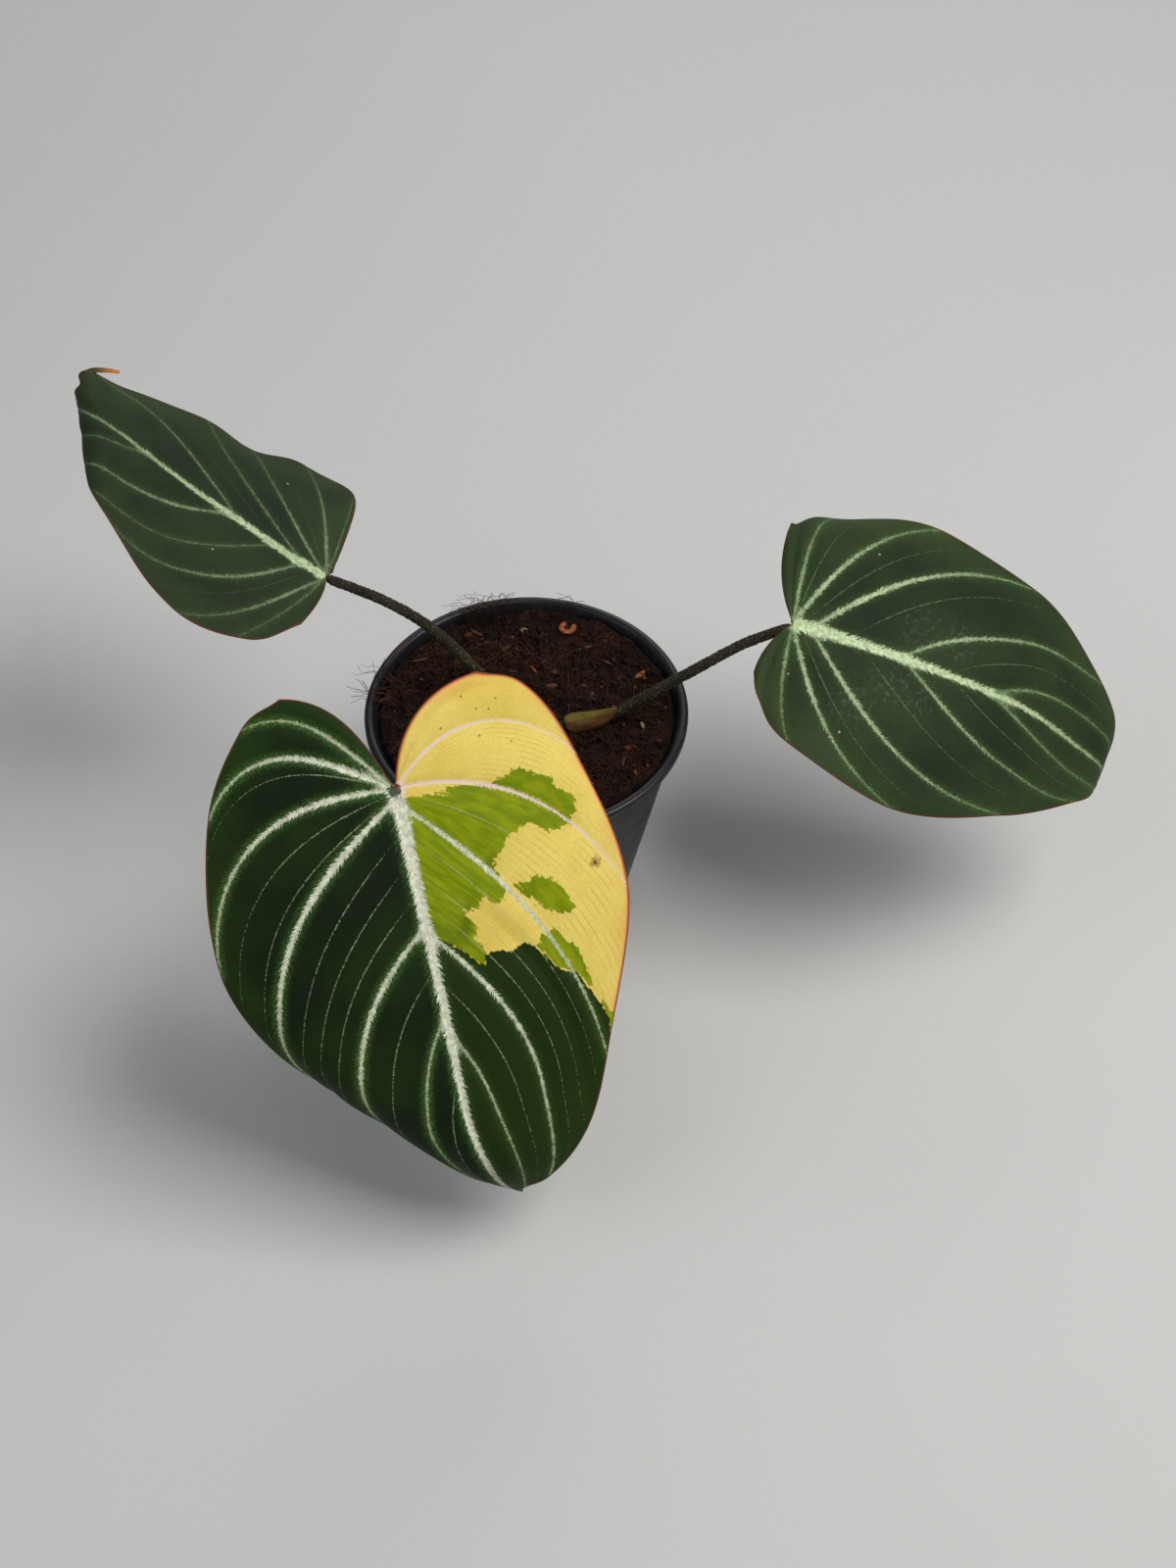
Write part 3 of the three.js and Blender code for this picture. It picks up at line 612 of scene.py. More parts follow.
profile = [(0, 0)]
for ring in range(81):
    along = ring / 80
    dome = math.sqrt(max(1 - (2 * along - 1) ** 6, 0))
    scar = 1 - 0.1 * math.exp(-((along * RHIZOME_SCARS) % 1 - 0.5) ** 2 * 60)
    profile.append((RHIZOME_RADIUS * (0.45 + 0.55 * dome) * scar, along * RHIZOME_LENGTH))
stem = spun(profile + [(0, RHIZOME_LENGTH)], 48)
lay = Matrix.Translation(Vector(RHIZOME_START) * MM) @ Matrix.Rotation(math.radians(90), 4, "Y")
bmesh.ops.transform(stem, matrix=lay, verts=stem.verts)
roughen(stem.verts, 0.35, 240)
for points in STALKS.values():
    line, _ = arch(points, STALK_STEPS // len(points))
    s = np.linspace(0, 1, len(line))
    rounded_ends = np.sqrt(np.clip(1 - (2 * s - 1) ** 40, 0, 1))
    rough_rod(stem, line, STALK_RADIUS * (1 - 0.12 * s) * rounded_ends)
sealed(stem)
add_piece("stem_and_stalks", stem, [stem_skin], "stem")


# ---------------- sheath
# The dry bract that once wrapped the newest stalk: a papery half pipe round its foot, brown with a
# yellow-green upper edge, running out to a point.
SHEATH_FROM = 0.095
SHEATH_TO = 0.3
SHEATH_RADII = (3.9, 2.9)
SHEATH_REACH = (88, 14)
SHEATH_TURN = -28
SHEATH_COLUMNS = 40
SHEATH_ROWS = 28
SHEATH_THICKNESS = 0.8

sheath_skin, wire = new_material("dry bract", roughness=0.78, specular_ior_level=0.12)
run = wire.vector("run")
veining = wire.patches(wire.stretched(run, (0.12, 9, 1)), 1.6, 0.32, 0.68, 3, 0.6)
paper_brown = wire.mix(veining, (0.045, 0.018, 0.006), (0.12, 0.055, 0.016))
paper_green = wire.mix(veining, (0.06, 0.045, 0.008), (0.19, 0.15, 0.025))
wander = wire.plus(wire.axis(run, 1), wire.times(wire.grain(run, 1.1), 0.4))
wire.dress(base_color=wire.mix(wire.step(wander, 0.5, 0.95), paper_brown, paper_green),
           normal=wire.bump(veining, 0.5, 0.0004))


def thicken(piece, name, thickness, offset):
    skin = piece.modifiers.new(name, "SOLIDIFY")
    skin.thickness = thickness * MM
    skin.offset = offset
    return skin


line, _ = arch(STALKS["right"], 40)
sheath = bmesh.new()
run = sheath.verts.layers.float_vector.new("run")
for corner, i, j in lattice(sheath, SHEATH_COLUMNS, SHEATH_ROWS):
    t = i / SHEATH_COLUMNS
    spot = (SHEATH_FROM + (SHEATH_TO - SHEATH_FROM) * t) * (len(line) - 1)
    before = int(spot)
    ahead = line[before + 1] - line[before]
    centre = line[before] + ahead * (spot - before)
    ahead /= np.linalg.norm(ahead)
    side = np.cross((0, 0, 1), ahead)
    side /= np.linalg.norm(side)
    over = np.cross(ahead, side)
    radius = SHEATH_RADII[0] + (SHEATH_RADII[1] - SHEATH_RADII[0]) * t**0.7
    radius += 0.15 * noise.noise(Vector((t * 6, j / 6, 1)))
    reach = SHEATH_REACH[0] + (SHEATH_REACH[1] - SHEATH_REACH[0]) * t**2.2
    reach *= min(1, 0.35 + 3.5 * t)
    a = math.radians(SHEATH_TURN + reach * (2 * j / SHEATH_ROWS - 1))
    corner.co = (centre + radius * (over * math.cos(a) + side * math.sin(a))) * MM
    corner[run] = (t * 12, j / SHEATH_ROWS, 0)
bmesh.ops.recalc_face_normals(sheath, faces=sheath.faces)
sheath = add_piece("dry_sheath", sheath, [sheath_skin], "sheath")
thicken(sheath, "wall", SHEATH_THICKNESS, 0)


# ---------------- front leaf
# The largest blade hangs over the pot's near side. It grew with one half green and the other yellow with
# lime and green sectors, under cream veins whose edges are feathered; its margin is a fine red-brown line.
HALVES = ((-1, "left"), (1, "right"))
VEIN_STEPS = 33
# added to the vein numbers of a right half where a colour has to tell the halves apart
RIGHT_HALF = 20
WEB = 2.4
MARGIN_WAVE = 0.7
FURROW_DEPTH = 0.25
FURROW_WIDTH = 1.6
RIB_DEPTH = 0.5
MIDRIB_DEPTH = 0.9
MARGIN_THICKNESS = 0.3
BLADE_THICKNESS = 0.55

# junction with the stalk, how the blade is turned, its arcs along the midrib, folds and curls, then for
# each half rows that hold: start on the midrib, bearing there, end along and across, how late the vein
# bends. A vein or hairline is a row number, which may lie between two rows, and a vein's second value is
# its half width at the midrib.
FRONT_LEAF = dict(
    junction=(-40.1, -86.2, 145), heading=163, dip=40, roll=0,
    blade_arcs=[(60, 5), (60, 10), (30, 8)], lobe_arcs=[(60, 8)],
    sweep=[(-60, 0), (108, 0), (200, 25)], folds=[(78, -40, -47, 14, 86), (125.5, 7, 8.5, 38, 26)],
    curl_left=[(-60, 20), (60, 20), (150, 30)], curl_right=[(-60, 15), (0, 10), (150, 10)],
    left=[
        (0, 160, -37, 30, 2.5), (0, 142, -29.5, 44.5, 3.8), (0, 124, -2.5, 61.5, 3.4), (0, 95, 48, 68.5, 2),
        (3, 57, 96.5, 51, 2), (24, 50.5, 124, 39.5, 1.8), (46, 52, 137.5, 19.1, 1.6), (82, 40, 145, 6.6, 0.7),
        (120, 10, 154, 3.1, 1), (160, 0, 160, 0, 1),
    ],
    right=[
        (0, 168, -32, 35, 1.3), (0, 150, -25, 50, 1.7), (0, 133, 2, 62.5, 1.7), (0, 92, 50, 69.5, 1.1),
        (3, 46, 100, 52, 1.5), (24, 44, 124.5, 39.5, 1.8), (46, 38, 144.5, 16.7, 1.9),
        (82, 30, 148.5, 6, 1.1), (120, 14, 154, 3.2, 1), (160, 0, 160, 0, 1),
    ],
    veins_left=[(1, 0.75), (2, 1.25), (3, 1.15), (4, 1.35), (6, 1), (6.85, 0.45)],
    veins_right=[(2, 0.75), (3, 0.9), (4.1, 1), (6.05, 0.95), (7, 0.5)],
    hairs_left=[2.35, 3.4, 3.75, 4.5, 5, 5.5, 6.4, 7.4], hairs_right=[1, 3.5, 4.6, 5.2, 5.6, 6.5],
    midrib=(2.5, 0.8),
    # flat outlines of the green sector and of the lime ones on the right half
    green_sector=[
        (48.5, 0), (56, 9.5), (63.7, 16), (59.5, 17), (59, 21.5), (61, 25.5), (58.5, 30.7), (62.5, 35),
        (70, 40), (73, 46.2), (79, 49), (87.5, 52.8), (91.5, 54), (96, 53), (112, 66), (170, 60), (170, -4),
        (48.5, -4),
    ],
    lime_sectors=[
        [(3.5, 0), (4.5, 16), (2.5, 17), (5, 30), (4.5, 33.5), (2.5, 39), (2, 42), (5.5, 47), (7.5, 51.5),
         (10.5, 52), (15.5, 57), (20.5, 57), (23.5, 55), (25, 47.5), (20.5, 41.5), (22, 36.5), (24, 31.5),
         (27, 30.5), (30.5, 26), (33, 26.5), (41, 28.7), (44.5, 25), (43, 22.5), (40, 21), (45, 16.5),
         (44, 13), (50.5, 16.5), (53, 14), (58.8, 17.5), (63.7, 16), (56, 9.5), (48.5, 0)],
        [(39.5, 31), (39.5, 34), (38.5, 39.5), (40.5, 45), (45.5, 47.5), (52, 50), (53, 45.5), (51, 41.5),
         (46.5, 37), (43, 34)],
        [(59.5, 33.5), (58, 39), (56.5, 41.5), (65.5, 48), (75.5, 50.5), (79, 50.2), (79, 49), (73, 46.2),
         (70, 40), (62.5, 35)],
        [(84.5, 52), (85, 54), (88, 54), (90.5, 56.5), (93.5, 55), (95, 53.3)],
    ],
)


def eased(t):
    t = np.clip(t, 0, 1)
    return t * t * (3 - 2 * t)


def stations(x, table):
    """Eased values between the (place, value) pairs of a table."""
    at, value = np.array(table, float).T
    i = np.clip(np.searchsorted(at, x) - 1, 0, len(at) - 2)
    return value[i] + (value[i + 1] - value[i]) * eased((x - at[i]) / (at[i + 1] - at[i]))


def between_rows(rows, k, column):
    values = np.array([row[column] for row in rows], float)
    values = np.concatenate([[2 * values[0] - values[1]], values, [2 * values[-1] - values[-2]]])
    i = np.clip(np.floor(k).astype(int), 0, len(rows) - 2)
    f = k - i
    p0, p1, p2, p3 = values[i], values[i + 1], values[i + 2], values[i + 3]
    cubic = (3 * p1 - p0 - 3 * p2 + p3) * f**3
    return 0.5 * (2 * p1 + (p2 - p0) * f + (2 * p0 - 5 * p1 + 4 * p2 - p3) * f * f + cubic)


def vein_point(rows, k, t):
    """Where vein number k of a half has come to, t of the way from the midrib to the margin, in flat mm."""
    start = np.interp(k, range(len(rows)), [row[0] for row in rows])
    bearing = np.radians(between_rows(rows, k, 1))
    end_u = between_rows(rows, k, 2) - start
    end_v = np.maximum(between_rows(rows, k, 3), 0)
    hook = between_rows(rows, k, 4)
    direction = bearing + (np.arctan2(end_v, end_u) - bearing) * t**hook
    reach = np.hypot(end_u, end_v) * t
    return start + reach * np.cos(direction), reach * np.sin(direction)


def along_arcs(distance, chain):
    x, z, bend = (np.zeros_like(distance) for _ in range(3))
    left = distance.copy()
    for i, (length, degrees) in enumerate(chain):
        step = left if i == len(chain) - 1 else np.minimum(left, length)
        k = math.radians(degrees) / length
        x = x + (np.sin(bend + k * step) - np.sin(bend)) / k
        z = z + (np.cos(bend + k * step) - np.cos(bend)) / k
        bend = bend + k * step
        left = left - step
    return x, z, bend


def blade_frame(leaf):
    h, d, r = (math.radians(leaf[key]) for key in ("heading", "dip", "roll"))
    flat = np.array([math.sin(h), math.cos(h), 0])
    up = np.array([0, 0, 1])
    along = flat * math.cos(d) - up * math.sin(d)
    normal = flat * math.sin(d) + up * math.cos(d)
    across = np.cross(normal, along)
    return (along, across * math.cos(r) - normal * math.sin(r), normal * math.cos(r) + across * math.sin(r))


def hung(leaf, u, v, h):
    """The flat blade bent along its midrib, curled to either side of it and set on its stalk."""
    along, across, up = blade_frame(leaf)
    sign = np.where(u >= 0, 1, -1)
    ahead = along_arcs(np.maximum(u, 0), leaf["blade_arcs"])
    behind = along_arcs(np.maximum(-u, 0), leaf["lobe_arcs"])
    x, z, bend = (np.where(u >= 0, a, b) for a, b in zip(ahead, behind))
    normal = np.cos(bend)[:, None] * up + (sign * np.sin(bend))[:, None] * along
    curl = np.where(v < 0, stations(u, leaf["curl_left"]), stations(u, leaf["curl_right"]))
    curl = np.radians(curl) / 100
    side = np.abs(v)
    lean = (np.sign(v) * np.sin(curl * side))[:, None] * across
    point = np.array(leaf["junction"]) + (sign * x)[:, None] * along + z[:, None] * up
    point = point + lean / curl[:, None] + ((np.cos(curl * side) - 1) / curl)[:, None] * normal
    return point + (normal * np.cos(curl * side)[:, None] + lean) * h[:, None]


def folded(leaf, u, v):
    """The flat blade with its broad folds turned down, then hung."""
    v = v + stations(u, leaf["sweep"])
    h = np.zeros_like(u)
    for fold_u, fold_v, azimuth, radius, angle in leaf["folds"]:
        du, dv = math.cos(math.radians(azimuth)), math.sin(math.radians(azimuth))
        past = np.maximum((u - fold_u) * du + (v - fold_v) * dv, 0)
        full = math.radians(angle)
        turn = np.minimum(past / radius, full)
        straight = np.maximum(past - radius * full, 0)
        shift = radius * np.sin(turn) + straight * math.cos(full) - past
        u, v = u + shift * du, v + shift * dv
        h = h - radius * (1 - np.cos(turn)) - straight * math.sin(full)
    return hung(leaf, u, v, h)


def from_line(points, line):
    """How far each point lies from a line, and how far along the line the nearest spot is, from 0 to 1."""
    best, along = np.full(len(points), 1e9), np.zeros(len(points))
    for i, (a, b) in enumerate(zip(line[:-1], line[1:])):
        way = b - a
        s = np.clip(((points - a) @ way) / max(way @ way, 1e-12), 0, 1)
        gap = np.linalg.norm(points - a - s[:, None] * way, axis=1)
        nearer = gap < best
        best[nearer] = gap[nearer]
        along[nearer] = (i + s[nearer]) / (len(line) - 1)
    return best, along


def inside_by(points, outline):
    """How far inside an outline each point lies; outside it the answer is negative."""
    corners = np.array(outline + outline[:1], float)
    gap, _ = from_line(points, corners)
    within = np.zeros(len(points), bool)
    for a, b in zip(corners[:-1], corners[1:]):
        spans = (a[1] > points[:, 1]) != (b[1] > points[:, 1])
        cross = a[0] + (points[:, 1] - a[1]) / (b[1] - a[1] if b[1] != a[1] else 1e-9) * (b[0] - a[0])
        within ^= spans & (points[:, 0] < cross)
    return np.where(within, gap, -gap)


def columns_of(rows, others, pitch, lines):
    """The vein numbers that a half's mesh lines follow: even ones, and one along each vein and hairline."""
    shift = len(others) - len(rows)
    ks = [np.array([0.0])]
    for i in range(len(rows) - 1):
        gaps = [math.dist(rows[i][2:4], rows[i + 1][2:4])]
        if rows[i + 1][0] > 0:
            gaps.append(math.dist(others[i + shift][2:4], others[i + 1 + shift][2:4]))
        cells = max(2, 2 * round(max(gaps) / pitch / 2))
        ks.append(i + np.arange(1, cells + 1) / cells)
    ks = np.concatenate(ks)
    for line in lines:
        nearest = np.abs(ks - line).argmin()
        if abs(ks[nearest] - line) > 1e-6:
            if ks[nearest] % 1:
                ks[nearest] = line
            else:
                ks = np.insert(ks, np.searchsorted(ks, line), line)
    return ks


def face_up(body):
    """Turns all faces of a sheet the same way, its upper side up."""
    bmesh.ops.recalc_face_normals(body, faces=body.faces)
    body.normal_update()
    if sum(face.normal.z * face.calc_area() for face in body.faces) < 0:
        bmesh.ops.reverse_faces(body, faces=body.faces)


def laid_flat(leaf, pitch, cells):
    """The blade as a flat mesh along its veins, with each corner's u, v, vein number and way along it."""
    body = bmesh.new()
    layers = [body.verts.layers.float.new(key) for key in ("u", "v", "k", "t")]
    for sign, half in HALVES:
        rows, others = leaf[half], leaf["right" if half == "left" else "left"]
        ks = columns_of(rows, others, pitch, [k for k, _ in leaf["veins_" + half]] + leaf["hairs_" + half])
        grid = lattice(body, len(ks) - 1, cells)
        k = ks[[i for _, i, _ in grid]]
        t = np.array([j for _, _, j in grid]) / cells
        u, v = vein_point(rows, k, t)
        for (corner, _, _), *values in zip(grid, u, v * sign, k, t):
            corner.co = (values[0] * MM, values[1] * MM, 0)
            for layer, value in zip(layers, values):
                corner[layer] = value
    bmesh.ops.remove_doubles(body, verts=body.verts, dist=2e-6)
    bmesh.ops.dissolve_degenerate(body, edges=body.edges, dist=1e-7)
    face_up(body)
    return body, [np.array([corner[layer] for corner in body.verts]) for layer in layers]


def vein_line(rows, number, sign):
    return np.stack(vein_point(rows, np.full(VEIN_STEPS, float(number)), np.linspace(0, 1, VEIN_STEPS)),
                    axis=1) * (1, sign)


def webbed(a, b):
    """The greater of two depths, with a small web where they are alike, as where a vein leaves another."""
    return np.maximum(a, b) + WEB / 4 * np.clip(1 - np.abs(a - b) / WEB, 0, 1) ** 2


def vein_maps(leaf, u, v, tip):
    """How deep in a vein each point lies, how far from its centre, how deep in a hairline, and where on
    the vein."""
    flat = np.stack([u, v], axis=1)
    vein, core, fine = np.full(len(u), -9.0), np.full(len(u), 9.0), np.full(len(u), -9.0)
    run = np.zeros((len(u), 3))
    for sign, half in HALVES:
        near = np.flatnonzero(v * sign > -4)
        for number, width in leaf["veins_" + half]:
            line = vein_line(leaf[half], number, sign)
            length = np.linalg.norm(np.diff(line, axis=0), axis=1).sum()
            gap, along = from_line(flat[near], line)
            local = width * np.minimum(1, 0.55 + 1.6 * along) * (1 - 0.78 * along**1.2)
            wins = local - gap > vein[near]
            places = np.stack([along * length, local, np.full(len(gap), number * sign)], axis=1)
            run[near[wins]] = places[wins]
            vein[near] = webbed(vein[near], local - gap)
            core[near] = np.minimum(core[near], gap + np.clip(along - 0.95, 0, 1) * 20)
        for number in leaf["hairs_" + half]:
            gap, along = from_line(flat[near], vein_line(leaf[half], number, sign))
            fine[near] = np.maximum(fine[near], 0.34 * (1 - along) ** 0.6 * np.clip(along * 5, 0, 1) - gap)
    base, end = leaf["midrib"]
    midrib = base + (end - base) * np.clip(u / tip, 0, 1) ** 0.7
    midrib *= np.clip((u + 1) / 2, 0, 1) * np.clip((tip - u) / 8, 0, 1)
    wins = (u > -1) & (midrib - np.abs(v) > vein)
    run[wins] = np.stack([u, 0.8 * midrib, np.where(v < 0, -15, 15)], axis=1)[wins]
    vein = np.where(u > -1, webbed(vein, midrib - np.abs(v)), vein)
    return vein, np.minimum(core, np.where(u > 0, np.abs(v), 9)), fine, run


def from_margin(leaf, flat):
    """How far each point lies from the edge of the blade, notch included."""
    gaps = []
    for sign, half in HALVES:
        rows = leaf[half]
        ks = np.linspace(0, len(rows) - 1, 220)
        outer = vein_point(rows, ks, np.ones(220))
        notch = vein_point(rows, np.zeros(30), np.linspace(0.02, 1, 30))
        for edge in (outer, notch):
            gaps.append(from_line(flat, np.stack(edge, axis=1) * (1, sign))[0])
    return np.minimum.reduce(gaps)


def blade(name, leaf, pitch, cells, quilting, materials, stands_for):
    """A blade laid flat, then hung, with its relief, its thickness and the maps that its colours need."""
    body, (u, v, k, t) = laid_flat(leaf, pitch, cells)
    flat = np.stack([u, v], axis=1)
    tip = leaf["left"][-1][0]
    side = np.where(v < 0, -1, 1)
    vein, core, fine, run = vein_maps(leaf, u, v, tip)
    margin = from_margin(leaf, flat)

    # relief: quilted between the veins, which lie in furrows, with a wavy margin that calms down at the tip
    to_tip = np.clip((tip - u) / 45, 0, 1)
    relief = quilting * np.sin(math.pi * (k % 1)) * np.sqrt(t) * (1 - t**4)
    relief += MARGIN_WAVE * np.sin(4.3 * k + 2 * side) * t**6
    relief -= FURROW_DEPTH * np.exp(-(core / FURROW_WIDTH) ** 2) * (1 - t**3)
    lift = 0.3 + relief * to_tip
    spot = folded(leaf, u, v)
    du = folded(leaf, u + 0.05, v) - spot
    dv = folded(leaf, u, v + 0.05 * side) - spot
    normal = np.cross(du, dv * side[:, None])
    normal /= np.linalg.norm(normal, axis=1)[:, None]
    for corner, place in zip(body.verts, (spot + normal * lift[:, None]) * MM):
        corner.co = place

    piece = add_piece(name, body, materials, stands_for)
    values = dict(vein=vein, core=core, fine=fine, margin=margin)
    if "green_sector" in leaf:
        values["green"] = np.maximum(inside_by(flat, leaf["green_sector"]), -v)
        values["lime"] = np.maximum.reduce([inside_by(flat, outline) for outline in leaf["lime_sectors"]])
    for key, value in values.items():
        piece.data.attributes.new(key, "FLOAT", "POINT").data.foreach_set("value", value.astype(np.float32))
    for key, value in (("flat", np.stack([u, v, k + RIGHT_HALF * (side > 0)], axis=1)), ("run", run)):
        layer = piece.data.attributes.new(key, "FLOAT_VECTOR", "POINT")
        layer.data.foreach_set("vector", value.astype(np.float32).ravel())

    # thickness: thin at the margin, with the veins raised underneath
    rib = RIB_DEPTH * np.clip(1 - core / 1.5, 0, 1) ** 0.8 * (1 - t**2) * to_tip
    rib = np.maximum(rib, MIDRIB_DEPTH * np.clip(1 - np.abs(v) / 2, 0, 1) * to_tip * np.clip(u / 6, 0, 1))
    thick = MARGIN_THICKNESS + (BLADE_THICKNESS - MARGIN_THICKNESS) * np.clip(margin / 3, 0, 1) + rib
    group = piece.vertex_groups.new(name="thickness")
    weights = np.round(thick / thick.max(), 2)
    for weight in np.unique(weights):
        group.add([int(i) for i in np.flatnonzero(weights == weight)], float(weight), "REPLACE")
    skin = thicken(piece, "blade thickness", thick.max(), -1)
    skin.vertex_group = "thickness"
    skin.material_offset = 1
    skin.material_offset_rim = 2


def shared_effect(name, takes, gives):
    """An empty node group with named sockets; hands back the group, its wiring, inputs and outlet."""
    group = bpy.data.node_groups.new(name, "ShaderNodeTree")
    for direction, sockets in (("INPUT", takes), ("OUTPUT", gives)):
        for key, kind in sockets.items():
            group.interface.new_socket(key, in_out=direction, socket_type="NodeSocket" + kind)
    return group, Wiring(group), group.nodes.new("NodeGroupInput").outputs, group.nodes.new("NodeGroupOutput")


# the vein effect: pale strokes that slant out of each vein make its ragged edge, and a halo of shorter ones
# lies round it
feathered_veins, wire, takes, outlet = shared_effect(
    "feathered veins", {"Feather": "Float"},
    {"Vein": "Float", "Halo": "Float", "Specks": "Float", "Strength": "Float"})
here = wire.here()
vein = wire.value("vein")
gap = wire.value("core")
run = wire.vector("run")
local = wire.axis(run, 1)
slant = wire.reckon("SUBTRACT", wire.axis(run, 0), wire.times(gap, 1.2))
path = wire.add("CombineXYZ", {0: wire.times(slant, 2.2), 1: wire.times(gap, 0.35),
                               2: wire.times(wire.axis(run, 2), 7)})
reach = wire.times(wire.plus(wire.times(local, 1.5), 0.5), takes["Feather"])
ragged = wire.times(wire.swing(path, 1, 2, 0.6), reach)
stipple = wire.times(wire.swing(here, 2300, 2, 0.6), takes["Feather"])
near = wire.plus(wire.plus(vein, wire.times(ragged, 1.7)), wire.times(stipple, 2.4))
far = wire.plus(wire.plus(vein, wire.times(ragged, 3.5)), wire.times(stipple, 3.6))
wire.fill(outlet, {
    "Vein": wire.step(near, -0.24, 0.3), "Halo": wire.step(far, -2.3, 0),
    "Strength": wire.step(local, 0.1, 1.1),
    "Specks": wire.times(wire.patches(here, 3400, 0.6, 0.68, 1), wire.step(vein, -3.2, -0.4))})

# the velvet effect: two greens in soft clouds, with the fine grain of the hairs
velvet_green, wire, takes, outlet = shared_effect(
    "velvet green", {"Dark": "Color", "Pale": "Color"}, {"Colour": "Color", "Height": "Float"})
here = wire.here()
nap = wire.grain(here, 2600, 2, 0.6)
rim = wire.step(wire.value("margin"), 17, 1)
cloud = wire.plus(wire.times(wire.patches(here, 30, 0.35, 0.7, 3), 0.6), wire.times(rim, 0.55))
tone = wire.mix(cloud, takes["Dark"], takes["Pale"])
wire.fill(outlet, {"Colour": wire.mix(wire.step(nap, 0.48, 0.78), tone, wire.scaled(tone, 1.7)),
                   "Height": wire.plus(wire.times(nap, 0.4), wire.times(wire.net(here, 900), 0.8))})

# the hairline effect: the fine veins between the main ones, drawn in dashes
hairlines, wire, takes, outlet = shared_effect("hairlines", {"Width": "Float"}, {"Mask": "Float"})
broken = wire.times(wire.swing(wire.here(), 1300, 3, 0.7), 1.3)
widened = wire.plus(wire.value("fine"), takes["Width"])
wire.fill(outlet, {"Mask": wire.step(wire.plus(widened, broken), 0, 0.3)})

# the sector effect: the border between two colours of tissue, torn into streaks that follow the veins
sector_edge, wire, takes, outlet = shared_effect(
    "sector edge", {"Inside": "Float", "Tear": "Float"}, {"Mask": "Float"})
streaks = wire.swing(wire.stretched(wire.vector("flat"), (0.1, 0.1, 16)), 1, 3, 0.65)
dots = wire.swing(wire.here(), 620, 4, 0.65)
torn = wire.times(wire.plus(wire.times(streaks, 0.9), dots), takes["Tear"])
wire.fill(outlet, {"Mask": wire.step(wire.plus(takes["Inside"], torn), -0.15, 0.2)})


def sector_masks(wire):
    """The lime patches and the border to the green."""
    patch = wire.use(sector_edge, {"Inside": wire.value("lime"), "Tear": 5})[0]
    return patch, wire.use(sector_edge, {"Inside": wire.value("green"), "Tear": 2.2})[0]


def freckles(wire, flat, spots, radius):
    """Round marks at flat places on a blade, each radius mm wide."""
    across = wire.stretched(flat, (1, 1, 0))
    gaps = [wire.add("VectorMath", {0: across, 1: (u, v, 0)}, out=1, operation="DISTANCE") for u, v in spots]
    nearest = gaps[0]
    for gap in gaps[1:]:
        nearest = wire.reckon("MINIMUM", nearest, gap)
    ragged = wire.times(wire.swing(flat, 1.1), 1.4 * radius)
    return wire.step(wire.plus(nearest, ragged), radius, radius * 0.5)


def yellow_tissue(wire, here, flat, number, green):
    """The yellow half with its fine brown lines, its lime patches, painted light on the green of its right
    half and its jagged border to the green.
    """
    wander = wire.times(wire.grain(here, 45), 0.5)
    comb = wire.reckon("PINGPONG", wire.plus(wire.times(number, 26), wander), 1)
    lines = wire.times(wire.step(comb, 0.3, 0.02), wire.patches(here, 110, 0.36, 0.62, 3))
    net = wire.step(wire.net(here, 420), 0.1, 0)
    margin = wire.value("margin")
    blush = wire.times(wire.step(margin, 7, 0), wire.patches(here, 60, 0.36, 0.62, 3))
    yellow = wire.mix(wire.patches(here, 36, 0.36, 0.66, 4), (0.87, 0.69, 0.165), (0.76, 0.58, 0.105))
    yellow = wire.coat(yellow, net, 0.2, (0.6, 0.37, 0.07))
    yellow = wire.coat(yellow, lines, 0.45, (0.5, 0.3, 0.06))
    yellow = wire.coat(yellow, blush, 0.45, (0.8, 0.38, 0.12))
    yellow = wire.mix(wire.step(margin, 1.5, 0.3), yellow, (0.75, 0.2, 0.08))
    streaks = wire.patches(wire.stretched(flat, (0.12, 0.12, 9)), 1, 0.36, 0.66, 3, 0.55)
    lime = wire.mix(streaks, (0.175, 0.25, 0.0006), (0.275, 0.335, 0.0012))
    lime = wire.mix(wire.patches(here, 55, 0.6, 0.75), lime, (0.11, 0.17, 0.001))
    lime = wire.coat(lime, lines, 0.3, (0.1, 0.15, 0.002))
    # painted light: the green of the right half is made brighter from the midrib outwards, standing in for
    # light falling on that side
    painted_light_right = wire.step(wire.plus(number, wire.grain(here, 30)), RIGHT_HALF - 0.5, RIGHT_HALF + 6)
    green = wire.coat(green, painted_light_right, 0.6, (0.016, 0.038, 0.0016))
    patch, border = sector_masks(wire)
    return wire.mix(border, wire.mix(patch, yellow, lime), green)


